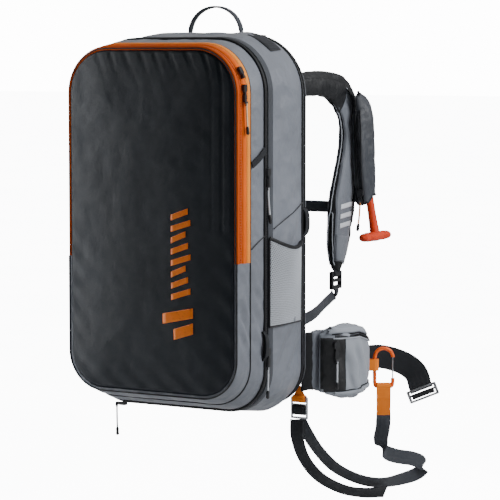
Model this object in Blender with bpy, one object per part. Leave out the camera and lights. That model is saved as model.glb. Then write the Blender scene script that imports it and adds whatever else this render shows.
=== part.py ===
"""Avalanche airbag backpack, 32 litre class, as separate sub-parts.

Metres, +Z up. The wearer faces +Y and the outer face looks to -Y. The origin is the middle of
the back pad's face, where the wearer's back lies against it. +X is the wearer's right.
"""

import math

import bmesh
import bpy
from mathutils import Matrix, Vector

GAP = 0.0003            # clearance kept between neighbouring sub-parts
SHELL = 0.004           # padded fabric wall of the bag
WEBBING = 0.002         # thickness of flat webbing

FRONT_Y = -0.215        # outer face of the bag
GUSSET_Y = -0.178       # where the front zip's band meets the front gusset
ZIP_Y = -0.138          # middle of the main zip
REAR_Y = -0.012         # rear rim of the bag
HALF_WIDTH = 0.144
FLAP_Z = -0.042         # where the front zip ends and the front flap folds

# Cross-sections of the bag from front to rear: depth, half width, bottom, top, corner radii.
STATIONS = (
    (FRONT_Y, HALF_WIDTH, -0.239, 0.266, 0.067, 0.058),
    (GUSSET_Y, 0.1465, -0.252, 0.272, 0.071, 0.060),
    (ZIP_Y, 0.1490, -0.266, 0.278, 0.078, 0.062),
    (-0.060, 0.1510, -0.273, 0.286, 0.084, 0.064),
    (REAR_Y, 0.1470, -0.269, 0.283, 0.088, 0.060),
)
CORNER_STEPS = 6
SIDE_STEPS = 3

PAD_X = 0.110           # the shoulder pads stand in planes this far from the middle
PAD_THICK = 0.014
WING_HINGE = (0.140, 0.004)
LEG_U = Vector((math.cos(math.radians(30)), math.sin(math.radians(30)), 0))
LEG_N = Vector((-LEG_U.y, LEG_U.x, 0))
UP = Vector((0, 0, 1))

LOOKS = {               # base colour, roughness, metallic
    "shell_dark": ((0.03, 0.04, 0.055), 0.5, 0.0),
    "shell_grey": ((0.28, 0.31, 0.36), 0.6, 0.0),
    "orange_tape": ((0.80, 0.20, 0.03), 0.5, 0.0),
    "orange_webbing": ((0.85, 0.30, 0.05), 0.7, 0.0),
    "webbing_dark": ((0.02, 0.024, 0.03), 0.8, 0.0),
    "pad_grey": ((0.12, 0.14, 0.17), 0.8, 0.0),
    "mesh_black": ((0.03, 0.03, 0.035), 0.8, 0.0),
    "plastic_black": ((0.015, 0.015, 0.017), 0.4, 0.0),
    "handle_orange": ((0.80, 0.09, 0.02), 0.35, 0.0),
    "alloy": ((0.70, 0.71, 0.73), 0.3, 1.0),
    "alloy_orange": ((0.85, 0.22, 0.03), 0.3, 0.6),
    "airbag_fabric": ((0.75, 0.08, 0.04), 0.6, 0.0),
}


# ---------------------------------------------------------------- tools

def clear_scene():
    for item in list(bpy.data.objects):
        bpy.data.objects.remove(item, do_unlink=True)


def look_material(look):
    found = bpy.data.materials.get(look)
    if found:
        return found
    colour, roughness, metallic = LOOKS[look]
    made = bpy.data.materials.new(look)
    made.use_nodes = True
    shader = made.node_tree.nodes["Principled BSDF"]
    shader.inputs["Base Color"].default_value = (*colour, 1.0)
    shader.inputs["Roughness"].default_value = roughness
    shader.inputs["Metallic"].default_value = metallic
    return made


def add_object(name, bm, look, origin=(0, 0, 0), flat_angle=35):
    """Turn a bmesh built in world coordinates into an object whose origin is at a given point."""
    bmesh.ops.recalc_face_normals(bm, faces=bm.faces)
    if bm.calc_volume(signed=True) < 0:
        bmesh.ops.reverse_faces(bm, faces=bm.faces)
    bmesh.ops.translate(bm, verts=bm.verts, vec=-Vector(origin))
    mesh = bpy.data.meshes.new(name)
    bm.to_mesh(mesh)
    bm.free()
    mesh.materials.append(look_material(look))
    mesh.shade_smooth()
    mesh.set_sharp_from_angle(angle=math.radians(flat_angle))
    made = bpy.data.objects.new(name, mesh)
    made.location = origin
    bpy.context.scene.collection.objects.link(made)
    return made


def stack(name, rings, look, loop=False, origin=(0, 0, 0)):
    """Join a stack of equal rings of points into one solid, capped, or closed end to end."""
    bm = bmesh.new()
    rows = [[bm.verts.new(point) for point in ring] for ring in rings]
    count = len(rows[0])
    following = rows[1:] + rows[:1] if loop else rows[1:]
    for low, high in zip(rows, following):
        for i in range(count):
            j = (i + 1) % count
            bm.faces.new((low[i], low[j], high[j], high[i]))
    if not loop:
        bm.faces.new(rows[0])
        bm.faces.new(rows[-1])
    return add_object(name, bm, look, origin)


def smooth_points(points, per):
    """Catmull-Rom curve through the points, with a number of steps in each span."""
    points = [Vector(p) for p in points]
    first = points[0] * 2 - points[1]
    last = points[-1] * 2 - points[-2]
    line = [first, *points, last]
    out = []
    for i in range(1, len(line) - 2):
        a, b, c, d = line[i - 1:i + 3]
        for step in range(per):
            t = step / per
            out.append(0.5 * ((2 * b) + (c - a) * t + (2 * a - 5 * b + 4 * c - d) * t ** 2
                              + (3 * b - a - 3 * c + d) * t ** 3))
    out.append(points[-1])
    return out


def band(name, edges, thickness, look, per=3, rounded=False, origin=(0, 0, 0)):
    """Strip between two edges, given as pairs of points; rounded sections suit padded straps."""
    left = smooth_points([pair[0] for pair in edges], per)
    right = smooth_points([pair[1] for pair in edges], per)
    middle = [(a + b) / 2 for a, b in zip(left, right)]
    half = thickness / 2
    rings = []
    for i, (a, b) in enumerate(zip(left, right)):
        along = middle[min(i + 1, len(middle) - 1)] - middle[max(i - 1, 0)]
        across = (b - a).normalized()
        normal = along.cross(across).normalized() * half
        if rounded:
            inset = across * half * 0.7
            edge = normal * 0.4
            ring = [a + edge, a + inset + normal, b - inset + normal, b + edge,
                    b - edge, b - inset - normal, a + inset - normal, a - edge]
        else:
            ring = [a + normal, b + normal, b - normal, a - normal]
        rings.append(ring)
    return stack(name, rings, look, origin=origin)


def strap(name, middle, across, width, look, thickness=WEBBING, per=3, origin=(0, 0, 0)):
    """Webbing of constant width along a centre line, each point with its own width direction."""
    edges = []
    for point, side in zip(middle, across):
        half = Vector(side).normalized() * width / 2
        edges.append((Vector(point) - half, Vector(point) + half))
    return band(name, edges, thickness, look, per, origin=origin)


def opposite(name, twin, look):
    """The mirror image of a solid on the right side, triangle by triangle, for the left side."""
    mesh = bpy.data.objects[twin].data
    mesh.calc_loop_triangles()
    bm = bmesh.new()
    corners = [bm.verts.new((-v.co.x, v.co.y, v.co.z)) for v in mesh.vertices]
    for triangle in mesh.loop_triangles:
        bm.faces.new([corners[i] for i in reversed(triangle.vertices)])
    return add_object(name, bm, look)


def loop_strap(name, path, across, width, look, thickness=WEBBING, origin=(0, 0, 0)):
    """Webbing sewn into a closed loop around a hole."""
    path = [Vector(p) for p in path]
    side = Vector(across).normalized() * width / 2
    rings = []
    for i, point in enumerate(path):
        along = path[(i + 1) % len(path)] - path[i - 1]
        out = along.cross(side).normalized() * thickness / 2
        rings.append([point - side + out, point + side + out, point + side - out, point - side - out])
    return stack(name, rings, look, loop=True, origin=origin)


def block(name, low, high, look, edge=0.002, origin=None):
    """Box between two corners with its edges rounded off."""
    low, high = Vector(low), Vector(high)
    bm = bmesh.new()
    bmesh.ops.create_cube(bm, size=1.0)
    size = high - low
    bmesh.ops.scale(bm, verts=bm.verts, vec=size)
    bmesh.ops.translate(bm, verts=bm.verts, vec=(low + high) / 2)
    if edge:
        bmesh.ops.bevel(bm, geom=bm.edges[:], offset=edge, segments=1, affect="EDGES")
    return add_object(name, bm, look, origin or (low + high) / 2)


def turned(name, profile, centre, axis, look, sides=28, closed=False):
    """Solid turned about an axis: profile points are (radius, distance along the axis)."""
    turn = Vector((0, 0, 1)).rotation_difference(Vector(axis)).to_matrix()
    rings = []
    for radius, height in profile:
        ring = []
        for i in range(sides):
            angle = math.tau * i / sides
            ring.append(turn @ Vector((radius * math.cos(angle), radius * math.sin(angle), height)))
        rings.append([point + Vector(centre) for point in ring])
    return stack(name, rings, look, loop=closed, origin=centre)


def cord(name, route, radii, look, per=5):
    """Round cord along a smooth route; radii are given at the route's points."""
    curve = bpy.data.curves.new(name, "CURVE")
    curve.dimensions = "3D"
    curve.bevel_depth = 1.0
    curve.bevel_resolution = 2
    curve.use_fill_caps = True
    points = smooth_points(route, per)
    spline = curve.splines.new("POLY")
    spline.points.add(len(points) - 1)
    for i, point in enumerate(points):
        at = i / per
        low = min(int(at), len(radii) - 1)
        high = min(low + 1, len(radii) - 1)
        spline.points[i].co = (*point, 1.0)
        spline.points[i].radius = radii[low] + (radii[high] - radii[low]) * (at - low)
    made = bpy.data.objects.new(name, curve)
    curve.materials.append(look_material(look))
    bpy.context.scene.collection.objects.link(made)
    return made


def change(base, tool, operation):
    """Cut a tool object from a base object, or join it to the base."""
    modifier = base.modifiers.new(operation.lower(), "BOOLEAN")
    modifier.object = tool
    modifier.operation = operation
    modifier.solver = "EXACT"
    tool.hide_render = True
    tool.display_type = "WIRE"


# ---------------------------------------------------------------- the bag's own outline

def section(y):
    """Half width, bottom, top and corner radii of the bag at one depth."""
    for front, rear in zip(STATIONS, STATIONS[1:]):
        if y <= rear[0]:
            share = max(0.0, (y - front[0]) / (rear[0] - front[0]))
            return [a + (b - a) * share for a, b in zip(front[1:], rear[1:])]
    return list(STATIONS[-1][1:])


def outline(y, inset=0.0):
    """Rounded outline of the bag at one depth, from the bottom of the right side round."""
    half, bottom, top, top_radius, bottom_radius = section(y)
    half, bottom, top = half - inset, bottom + inset, top - inset
    high, low = top_radius - inset, bottom_radius - inset
    corners = (
        (half - high, top - high, high, 0.0),
        (high - half, top - high, high, 0.5 * math.pi),
        (low - half, bottom + low, low, math.pi),
        (half - low, bottom + low, low, 1.5 * math.pi),
    )
    points = []
    for number, (x, z, radius, start) in enumerate(corners):
        for i in range(CORNER_STEPS + 1):
            angle = start + 0.5 * math.pi * i / CORNER_STEPS
            points.append(Vector((x + radius * math.cos(angle), y, z + radius * math.sin(angle))))
        after = corners[(number + 1) % 4]
        begin = points[-1]
        angle = after[3]
        end = Vector((after[0] + after[2] * math.cos(angle), y, after[1] + after[2] * math.sin(angle)))
        for i in range(1, SIDE_STEPS):
            points.append(begin.lerp(end, i / SIDE_STEPS))
    return points


def split_outline(y, inset=0.0):
    """The outline as an upper and a lower part, both cut where the front flap folds."""
    points = outline(y, inset)
    start = next(i for i, p in enumerate(points) if points[i - 1].z < FLAP_Z < p.z)
    points = points[start:] + points[:start]
    half = section(y)[0] - inset
    right = Vector((half, y, FLAP_Z))
    left = Vector((-half, y, FLAP_Z))
    upper = [right, *[p for p in points if p.z > FLAP_Z], left]
    below = [p for p in points if p.z < FLAP_Z]
    lower = [left, *below, right]
    return upper, lower


def shell_ring(name, depths, look, thickness=SHELL, proud=0.0):
    """Wall all round the bag between the given depths."""
    rings = [outline(y, -proud) for y in depths]
    rings += [outline(y, thickness) for y in reversed(depths)]
    return stack(name, rings, look, loop=True)


def half_wall(name, upper, front_y, rear_y, look, trim):
    """Part of the bag's wall above or below the fold, as a U-shaped band."""
    part = 0 if upper else 1
    lines = [split_outline(y, inset)[part] for y, inset in
             ((front_y, 0.0), (rear_y, 0.0), (rear_y, SHELL), (front_y, SHELL))]
    rings = []
    for i, points in enumerate(zip(*lines)):
        shift = Vector((0, 0, trim)) if i in (0, len(lines[0]) - 1) else Vector()
        rings.append([point + shift for point in points])
    return stack(name, rings, look)


def half_panel(name, upper, look, trim):
    """Slightly crowned outer panel above or below the fold."""
    part = 0 if upper else 1
    thickness = SHELL
    rings = []
    for y, inset in ((FRONT_Y + thickness, 0.0), (FRONT_Y + thickness / 2, 0.0), (FRONT_Y, 0.004)):
        line = [p.copy() for p in split_outline(FRONT_Y, inset)[part]]
        for point in line:
            point.y = y
        line[0].z += trim
        line[-1].z += trim
        rings.append(line)
    return stack(name, rings, look)


def outline_plate(name, front_y, rear_y, inset, look):
    """Flat sheet that fills the bag's outline between two depths."""
    return stack(name, [outline(front_y, inset), outline(rear_y, inset)], look)


# ---------------------------------------------------------------- the bag

def build_bag():
    shell_ring("rear_ring", (ZIP_Y + 0.0053, -0.098, -0.060, -0.026, REAR_Y), "shell_grey")
    outline_plate("frame_sheet", REAR_Y + GAP, -0.0087, 0.0, "shell_dark")
    block("back_pad", (-0.062, -0.0084, -0.125), (0.062, 0.0, 0.150), "pad_grey", 0.004)
    block("lumbar_pad", (-0.108, -0.0084, -0.245), (0.108, 0.0, -0.130), "pad_grey", 0.004)
    stay = []
    for i in range(13):
        angle = math.pi * i / 12
        stay.append((0.060 * math.cos(angle), REAR_Y - 0.003, 0.140 + 0.060 * math.sin(angle)))
    stay = [(0.060, REAR_Y - 0.003, -0.230), *stay, (-0.060, REAR_Y - 0.003, -0.230)]
    cord("frame_stay", stay, (0.0022,) * len(stay), "alloy", 1)
    shell_ring("main_zip", (ZIP_Y - 0.003, ZIP_Y + 0.005), "webbing_dark", 0.003, 0.0008)
    shell_ring("front_gusset", (GUSSET_Y + GAP, -0.158, ZIP_Y - 0.0033), "shell_grey")
    outline_plate("divider_panel", ZIP_Y - 0.003, ZIP_Y, SHELL + 0.001, "shell_dark")
    lower = half_panel("lower_front_panel", False, "shell_dark", 0.0)
    wall = half_wall("cutter_lower_gusset", False, FRONT_Y + SHELL / 2, GUSSET_Y, "shell_grey", 0.0)
    change(lower, wall, "UNION")
    half_wall("front_zip_band", True, FRONT_Y + SHELL + GAP, GUSSET_Y, "orange_tape", 0.0006)
    half_panel("front_flap", True, "shell_dark", 0.0006)


def build_side_pocket():
    """Stretch-mesh pocket on the right side, open at the top, standing off in the middle."""
    rear_edge, front_edge = -0.036, -0.131
    bottom, top = -0.140, -0.022
    rows = 6
    columns = 7
    thickness = 0.0016
    side = section(-0.080)[0] + GAP
    outer = []
    for i in range(columns):
        share = i / (columns - 1)
        y = front_edge + (rear_edge - front_edge) * share
        rise = 0.012 * (1 - share)
        line = []
        for j in range(rows):
            height = j / (rows - 1)
            z = bottom + (top + rise - 0.010 * math.sin(math.pi * share) - bottom) * height
            stand = 0.0015 + 0.013 * math.sin(math.pi * share) ** 0.8 * (0.25 + 0.75 * height)
            line.append(Vector((side + stand, y, z)))
        outer.append(line)
    rings = []
    for line in outer:
        inner = [point + Vector((-thickness, 0, 0)) for point in reversed(line)]
        rings.append([*line, *inner])
    stack("side_mesh_pocket", rings, "mesh_black")


def build_air_inlet():
    """Mesh window in the upper right shoulder of the bag, where the fan draws its air."""
    start, count = 1, 4
    depths = (-0.085, -0.060, -0.032)
    rings = []
    for i in range(start, start + count):
        outside = [outline(y, -0.0018)[i] for y in depths]
        inside = [outline(y, -GAP)[i] for y in reversed(depths)]
        rings.append([*outside, *inside])
    stack("air_inlet_mesh", rings, "mesh_black")


def build_haul_loop():
    half_band = 0.080
    steps = 10
    width = 0.018
    centre = Vector((0, -0.023, 0))
    top = section(centre.y - width / 2)[2] + 2 * GAP
    edges = []
    for i in range(steps + 1):
        x = half_band * (2 * i / steps - 1)
        drop = 0.00045 * max(0.0, (abs(x) - 0.055) / 0.005) ** 1.2
        point = centre + Vector((x, 0, top + 0.001 - drop * 0.5))
        edges.append((point - Vector((0, width / 2, 0)), point + Vector((0, width / 2, 0))))
    band("haul_band", edges, WEBBING, "webbing_dark", 1)
    foot = top + 0.002 + GAP
    span, rise = 0.045, 0.041
    eye, half_strap = 0.0025, 0.007
    count = 20
    arch = []
    for i in range(count + 1):
        angle = 0.5 * math.pi * (1 - math.cos(math.pi * i / count))
        height = rise * math.sin(angle)
        if height < eye:
            half = max(0.0004, math.sqrt(eye ** 2 - (eye - height) ** 2))
        else:
            half = min(half_strap, eye + 0.5 * (height - eye))
        point = Vector((-0.003 + span * math.cos(angle), centre.y, foot + height))
        arch.append((point - Vector((0, half, 0)), point + Vector((0, half, 0))))
    band("haul_loop", arch, 0.003, "webbing_dark", 1, origin=(-0.003, centre.y, foot + eye))


# ---------------------------------------------------------------- airbag system

FAN_CENTRE = Vector((0.060, -0.072, 0.140))
FAN_AXIS = Vector((1, 0, 0))


def build_airbag_system():
    block("airbag_folded", (-0.088, -0.110, 0.203), (0.088, -0.024, 0.268), "airbag_fabric", 0.012)
    housing = ((0.050, 0.000), (0.050, 0.044), (0.034, 0.044), (0.034, 0.041),
               (0.047, 0.041), (0.047, 0.003), (0.012, 0.003), (0.012, 0.000))
    turned("fan_housing", housing, FAN_CENTRE, FAN_AXIS, "plastic_black", closed=True)
    impeller = ((0.006, 0.006), (0.041, 0.006), (0.041, 0.008), (0.030, 0.024),
                (0.030, 0.036), (0.022, 0.036), (0.018, 0.012), (0.006, 0.012))
    turned("fan_impeller", impeller, FAN_CENTRE, FAN_AXIS, "plastic_black", 24, closed=True)
    motor = ((0.010, -0.030), (0.016, -0.028), (0.016, -0.004), (0.011, -0.002),
             (0.0055, -0.002), (0.0055, 0.014), (0.003, 0.015))
    turned("fan_motor", motor, FAN_CENTRE, FAN_AXIS, "alloy", 20)
    block("capacitor_pack", (-0.050, -0.100, 0.098), (0.012, -0.040, 0.160), "plastic_black", 0.005)
    box = block("control_box", (-0.100, -0.096, 0.098), (-0.056, -0.044, 0.190), "plastic_black", 0.004)
    button = Vector((-0.078, -0.0940, 0.160))
    inward = Vector((0, 1, 0))
    well = turned("cutter_button_well", ((0.0078, -0.006), (0.0078, 0.0035)), button, inward,
                  "plastic_black", 16)
    change(box, well, "DIFFERENCE")
    turned("power_button", ((0.007, 0.0), (0.007, 0.004), (0.0055, 0.006)),
           button, -inward, "handle_orange", 16)


# ---------------------------------------------------------------- shoulder straps

# Inner and outer edge of a shoulder pad, as (x, y, z) on the right side.
PAD_EDGES = (
    ((0.080, -0.0060, 0.181), (0.080, -0.0060, 0.219)),
    ((0.092, 0.050, 0.188), (0.092, 0.048, 0.228)),
    ((0.103, 0.104, 0.190), (0.103, 0.116, 0.231)),
    ((0.108, 0.138, 0.182), (0.108, 0.170, 0.222)),
    ((PAD_X, 0.160, 0.163), (PAD_X, 0.205, 0.193)),
    ((PAD_X, 0.170, 0.137), (PAD_X, 0.222, 0.155)),
    ((PAD_X, 0.167, 0.108), (PAD_X, 0.225, 0.112)),
    ((PAD_X, 0.153, 0.072), (PAD_X, 0.220, 0.066)),
    ((PAD_X, 0.137, 0.030), (PAD_X, 0.208, 0.022)),
    ((PAD_X, 0.133, -0.010), (PAD_X, 0.199, -0.018)),
    ((PAD_X, 0.135, -0.048), (PAD_X, 0.185, -0.056)),
    ((PAD_X, 0.146, -0.080), (PAD_X, 0.166, -0.082)),
)


def sided(point, side):
    return Vector((point[0] * side, point[1], point[2]))


def build_shoulder_strap(side, word):
    edges = [(sided(a, side), sided(b, side)) for a, b in PAD_EDGES]
    band(f"shoulder_pad_{word}", edges, PAD_THICK, "pad_grey", 2, rounded=True)
    lock_origin = sided((PAD_X, 0.155, -0.0880), side)
    lock = block(f"ladder_lock_{word}", lock_origin + Vector((-0.0035, -0.016, -0.024)),
                 lock_origin + Vector((0.0035, 0.016, 0.004)), "plastic_black", 0.0012, lock_origin)
    for number, offset in enumerate((-0.005, -0.0155)):
        slot = block(f"cutter_lock_{word}_{number}", lock_origin + Vector((-0.010, -0.012, offset - 0.003)),
                     lock_origin + Vector((0.010, 0.012, offset + 0.003)), "plastic_black", 0)
        change(lock, slot, "DIFFERENCE")
    route = ((PAD_X, 0.1545, -0.1165), (PAD_X, 0.140, -0.1240), (0.114, 0.110, -0.1310),
             (0.124, 0.072, -0.1365), (0.131, 0.042, -0.1400), (0.1325, 0.014, -0.1440),
             (0.1337, -0.0070, -0.1450))
    across = ((0, 0.9, 0.3), (0, 0.6, 0.8), (0, 0.25, 1), (0, 0.1, 1), (0, 0.05, 1), (0, 0, 1), (0, 0, 1))
    if side > 0:
        strap(f"strap_webbing_{word}", route, across, 0.018, "webbing_dark")
    else:
        opposite(f"strap_webbing_{word}", "strap_webbing_right", "webbing_dark")


def build_trigger():
    """Zipped sleeve on the right pad with the release cable and the T-handle in its end."""
    x = PAD_X + PAD_THICK / 2 + 0.0165
    path = smooth_points(((x, 0.186, 0.194), (x, 0.203, 0.172), (x, 0.210, 0.140),
                          (x, 0.211, 0.100), (x, 0.213, 0.066), (x + 0.001, 0.217, 0.034)), 2)
    radii = (0.009, 0.012, 0.0145, 0.0155, 0.016, 0.016, 0.016, 0.0155, 0.015, 0.014, 0.0125)
    bore = 0.0100
    depth_share = 1.45      # the sleeve is deeper than wide
    shift_share = 0.42      # and stands back from the cable, over the pad's edge
    sides = 12
    outer = []
    inner = []
    for i, point in enumerate(path):
        along = (path[min(i + 1, len(path) - 1)] - path[max(i - 1, 0)]).normalized()
        across = along.cross(Vector((1, 0, 0))).normalized()
        angles = [math.tau * k / sides for k in range(sides)]
        wide = Vector((1, 0, 0)) * radii[i]
        deep = across * radii[i] * depth_share
        centre = point + across * radii[i] * shift_share
        hole = min(bore, radii[i] - 0.002)
        outer.append([centre + wide * math.cos(a) + deep * math.sin(a) for a in angles])
        inner.append([point + (Vector((1, 0, 0)) * math.cos(a) + across * math.sin(a)) * hole for a in angles])
    stack("trigger_sleeve", outer + inner[::-1], "shell_grey", loop=True)
    cable = ((x, 0.184, 0.198), (x, 0.2015, 0.174), (x, 0.210, 0.140), (x, 0.211, 0.100), (x, 0.213, 0.074))
    cord("trigger_cable", cable, (0.0022,) * 5, "plastic_black", 4)
    top = Vector((x, 0.2125, 0.066))
    foot = Vector((0.1425, 0.2280, -0.031))
    axis = (foot - top).normalized()
    length = (foot - top).length
    profile = ((0.0045, 0.0), (0.0062, 0.004), (0.0066, length * 0.5), (0.0072, length))
    turned("release_handle", profile, top, axis, "handle_orange", 16)
    handle = bpy.data.objects["release_handle"]
    bar = []
    for share, high, wide in ((-1.0, 0.004, 0.005), (-0.93, 0.0065, 0.008), (-0.5, 0.0065, 0.0085),
                              (0.0, 0.0075, 0.0095), (0.5, 0.0065, 0.0085), (0.93, 0.0065, 0.008),
                              (1.0, 0.004, 0.005)):
        centre = foot + Vector((0, share * 0.045, -0.0015))
        bar.append([centre + Vector((wide * math.cos(math.tau * k / 12), 0,
                                     high * math.sin(math.tau * k / 12))) for k in range(12)])
    grip = stack("cutter_handle_bar", bar, "handle_orange")
    change(handle, grip, "UNION")


def build_sternum_strap():
    """Chest strap between the pads: a right half, a buckle housing and a left half with its prong."""
    height = 0.018
    start = PAD_X - PAD_THICK / 2 - 0.001
    route = ((start, 0.148, height), (0.070, 0.149, height), (0.030, 0.1495, height), (0.0195, 0.1495, height))
    across = [(0, 0, 1)] * 4
    strap("sternum_strap_right", route, across, 0.018, "webbing_dark")
    mirrored = [(-p[0], p[1], p[2]) for p in route]
    strap("sternum_strap_left", mirrored, across, 0.018, "webbing_dark")
    housing = block("sternum_buckle_housing", (-0.0085, 0.1440, height - 0.013),
                    (0.0190, 0.1550, height + 0.013), "plastic_black", 0.002)
    mouth = block("cutter_sternum_mouth", (-0.012, 0.1463, height - 0.0102),
                  (0.009, 0.1527, height + 0.0102), "plastic_black", 0)
    change(housing, mouth, "DIFFERENCE")
    block("sternum_buckle_prong", (-0.0190, 0.1468, height - 0.0096),
          (0.0060, 0.1522, height + 0.0096), "plastic_black", 0.0015)


# ---------------------------------------------------------------- hip belt

FIN_EDGES = (
    ((0.1430, 0.0070, -0.248), (0.1430, 0.0070, -0.160)),
    ((0.1550, 0.0310, -0.260), (0.1550, 0.0310, -0.158)),
    ((0.1620, 0.0640, -0.262), (0.1620, 0.0640, -0.158)),
    ((0.1630, 0.0920, -0.256), (0.1630, 0.0920, -0.172)),
    ((0.1610, 0.1120, -0.242), (0.1610, 0.1120, -0.192)),
)


def build_hip_wing(side, word):
    edges = [(sided(a, side), sided(b, side)) for a, b in FIN_EDGES]
    hinge = (WING_HINGE[0] * side, WING_HINGE[1], -0.205)
    band(f"hip_fin_{word}", edges, 0.010, "pad_grey", 2, rounded=True, origin=hinge)
    route = ((0.1610, 0.1175, -0.2170), (0.1665, 0.1460, -0.2160), (0.1800, 0.1800, -0.2180),
             (0.2030, 0.2060, -0.2290), (0.2195, 0.2190, -0.2450), (0.2263, 0.2216, -0.2654))
    across = ((0, 0, 1), (0.03, 0.08, 1), (0.12, 0.22, 0.97), (0.42, 0.36, 0.83), (0.68, 0.45, 0.60),
              (0.800, 0.481, 0.358))
    strap(f"belt_webbing_{word}", [sided(p, side) for p in route],
          [sided(v, side) for v in across], 0.036, "webbing_dark")


def build_hip_pocket():
    """Boxy zipped pocket on the outer face of the right fin."""
    rows = []
    stations = (
        (0.009, 0.1525, 0.162, -0.248, -0.166),
        (0.019, 0.1575, 0.182, -0.260, -0.153),
        (0.046, 0.1670, 0.201, -0.268, -0.148),
        (0.080, 0.1700, 0.203, -0.266, -0.153),
        (0.102, 0.1700, 0.196, -0.256, -0.169),
        (0.112, 0.1700, 0.184, -0.244, -0.182),
    )
    for y, inner, outer, bottom, top in stations:
        soft = min(0.010, (outer - inner) * 0.3)
        rows.append([Vector(p) for p in (
            (inner, y, bottom + soft), (inner + soft, y, bottom), (outer - soft, y, bottom + 0.002),
            (outer, y, bottom + 0.012), (outer, y, top - 0.020), (outer - soft, y, top - 0.004),
            (inner + soft, y, top), (inner, y, top - soft))])
    stack("hip_pocket", rows, "shell_grey", origin=(0.180, 0.065, -0.205))


def build_hip_buckle(side, word):
    """Metal tongue on the right, metal loop on the left, each on its belt webbing."""
    centre = sided((0.2310, 0.2225, -0.2770), side)
    low = Vector((-0.0245, -0.0030, -0.010))
    high = Vector((0.0245, 0.0030, 0.010))
    frame = block(f"hip_buckle_{word}", low, high, "alloy", 0.0015, (0, 0, 0))
    slots = ((-0.0200, 0.0200, 0.0025, 0.0065), (-0.0200, 0.0200, -0.0065, -0.0005))
    for number, (x0, x1, z0, z1) in enumerate(slots):
        tool = block(f"cutter_hip_{word}_{number}", (x0, -0.01, z0), (x1, 0.01, z1), "alloy", 0, (0, 0, 0))
        change(frame, tool, "DIFFERENCE")
        tool.parent = frame
    frame.location = centre
    frame.rotation_euler = (math.radians(-8), math.radians(-21 * side), math.radians(31 * side))


# ---------------------------------------------------------------- leg loop

def leg_point(along, out, height, base=Vector((0.2040, 0.1380, 0))):
    """Point in the leg loop's own frame: along its width, out of its plane, and its height."""
    return base + LEG_U * along + LEG_N * out + UP * height


def build_carabiner():
    wire = 0.0028
    half = 0.0140
    lower = ((half, -0.2450), (0.0138, -0.2530), (0.0112, -0.2578), (0.0, -0.2580),
             (-0.0112, -0.2578), (-0.0138, -0.2530), (-half, -0.2470))
    upper = ((-half, -0.2130), (-0.0095, -0.2020), (0.0, -0.1985), (0.0095, -0.2020),
             (0.0136, -0.2090), (half, -0.2120))
    route = [*lower, *upper]
    cord("carabiner_body", [leg_point(a, 0, z) for a, z in route], (wire,) * len(route),
         "alloy_orange", 3)
    gate = ((half, -0.2125), (half, -0.2285), (half, -0.2445))
    pivot = leg_point(half, 0, -0.2445)
    made = cord("carabiner_gate", [leg_point(a, 0, z) - pivot for a, z in gate], (0.0015,) * 3,
                "alloy", 3)
    made.location = pivot


def build_leg_sleeve():
    """Webbing sleeve that wraps the carabiner's lower bar and holds the leg strap's end."""
    hole_z = -0.2578
    hole = 0.0040
    count = 20
    outer = []
    inner = []
    for i in range(count):
        angle = math.tau * i / count
        direction = (math.cos(angle), math.sin(angle))
        wall = 0.0058
        if direction[1] < -0.35:
            reach = min(0.0495 / -direction[1], wall / max(abs(direction[0]), 0.02))
        else:
            reach = wall
        outer.append((direction[0] * reach, hole_z + direction[1] * reach))
        inner.append((direction[0] * hole, hole_z + direction[1] * hole))
    half = 0.0108
    rings = [[leg_point(s * half, n, z) for n, z in shape]
             for s, shape in ((-1, outer), (1, outer), (1, inner), (-1, inner))]
    stack("leg_sleeve", rings, "orange_webbing", loop=True)


def build_belt_loop():
    """Loop of webbing on the fin's end that carries the carabiner."""
    anchor = leg_point(-0.0138, 0, -0.2240)
    path = []
    radius = 0.0052
    length = 0.018
    for i in range(7):
        angle = -0.5 * math.pi + math.pi * i / 6
        path.append(anchor + LEG_U * radius * math.cos(angle) + LEG_N * radius * math.sin(angle))
    for i in range(7):
        angle = 0.5 * math.pi + math.pi * i / 6
        path.append(anchor - LEG_U * length + LEG_U * radius * math.cos(angle)
                    + LEG_N * radius * math.sin(angle))
    loop_strap("belt_loop", path, UP, 0.018, "orange_webbing", 0.0018)


LEG_ROUTE = (
    (0.2040, 0.1380, -0.3080), (0.2030, 0.1375, -0.3240), (0.2000, 0.1370, -0.3420),
    (0.2020, 0.1440, -0.3600), (0.2110, 0.1660, -0.3710), (0.2240, 0.1980, -0.3790),
    (0.2310, 0.2180, -0.3880), (0.2300, 0.2230, -0.3990), (0.2230, 0.2130, -0.4070),
    (0.2080, 0.1830, -0.4120), (0.1920, 0.1460, -0.4120), (0.1740, 0.1080, -0.4010),
    (0.1570, 0.0660, -0.3780), (0.1450, 0.0320, -0.3460), (0.1370, 0.0090, -0.3150),
    (0.1330, -0.0030, -0.2955),
)
LEG_ACROSS = (
    (0.87, 0.50, 0.0), (0.90, 0.20, -0.20), (0.80, 0.25, -0.45), (0.30, 0.05, -0.95),
    (0.0, 0.15, -1.0), (0.0, -0.05, -1.0), (-0.10, -0.10, -1.0), (-0.10, -0.10, -1.0),
    (-0.20, -0.20, -1.0), (-0.45, -0.10, -0.90), (-0.70, 0.0, -0.70), (-0.85, 0.0, -0.50),
    (-0.90, 0.10, -0.40), (-0.92, 0.20, -0.30), (-0.95, 0.10, -0.20), (-1.0, 0.0, 0.0),
)
TAIL_ROUTE = (
    (0.1320, -0.0110, -0.2955), (0.1310, -0.0080, -0.3230), (0.1350, 0.0080, -0.3580),
    (0.1470, 0.0360, -0.3900), (0.1660, 0.0780, -0.4140), (0.1850, 0.1180, -0.4240),
    (0.2010, 0.1520, -0.4260),
)
TAIL_ACROSS = (
    (1.0, 0.0, 0.0), (0.95, -0.1, 0.2), (0.92, -0.2, 0.3),
    (0.90, -0.1, 0.4), (0.85, 0.0, 0.5), (0.70, 0.0, 0.7),
    (0.5, 0.0, 0.85),
)


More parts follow.
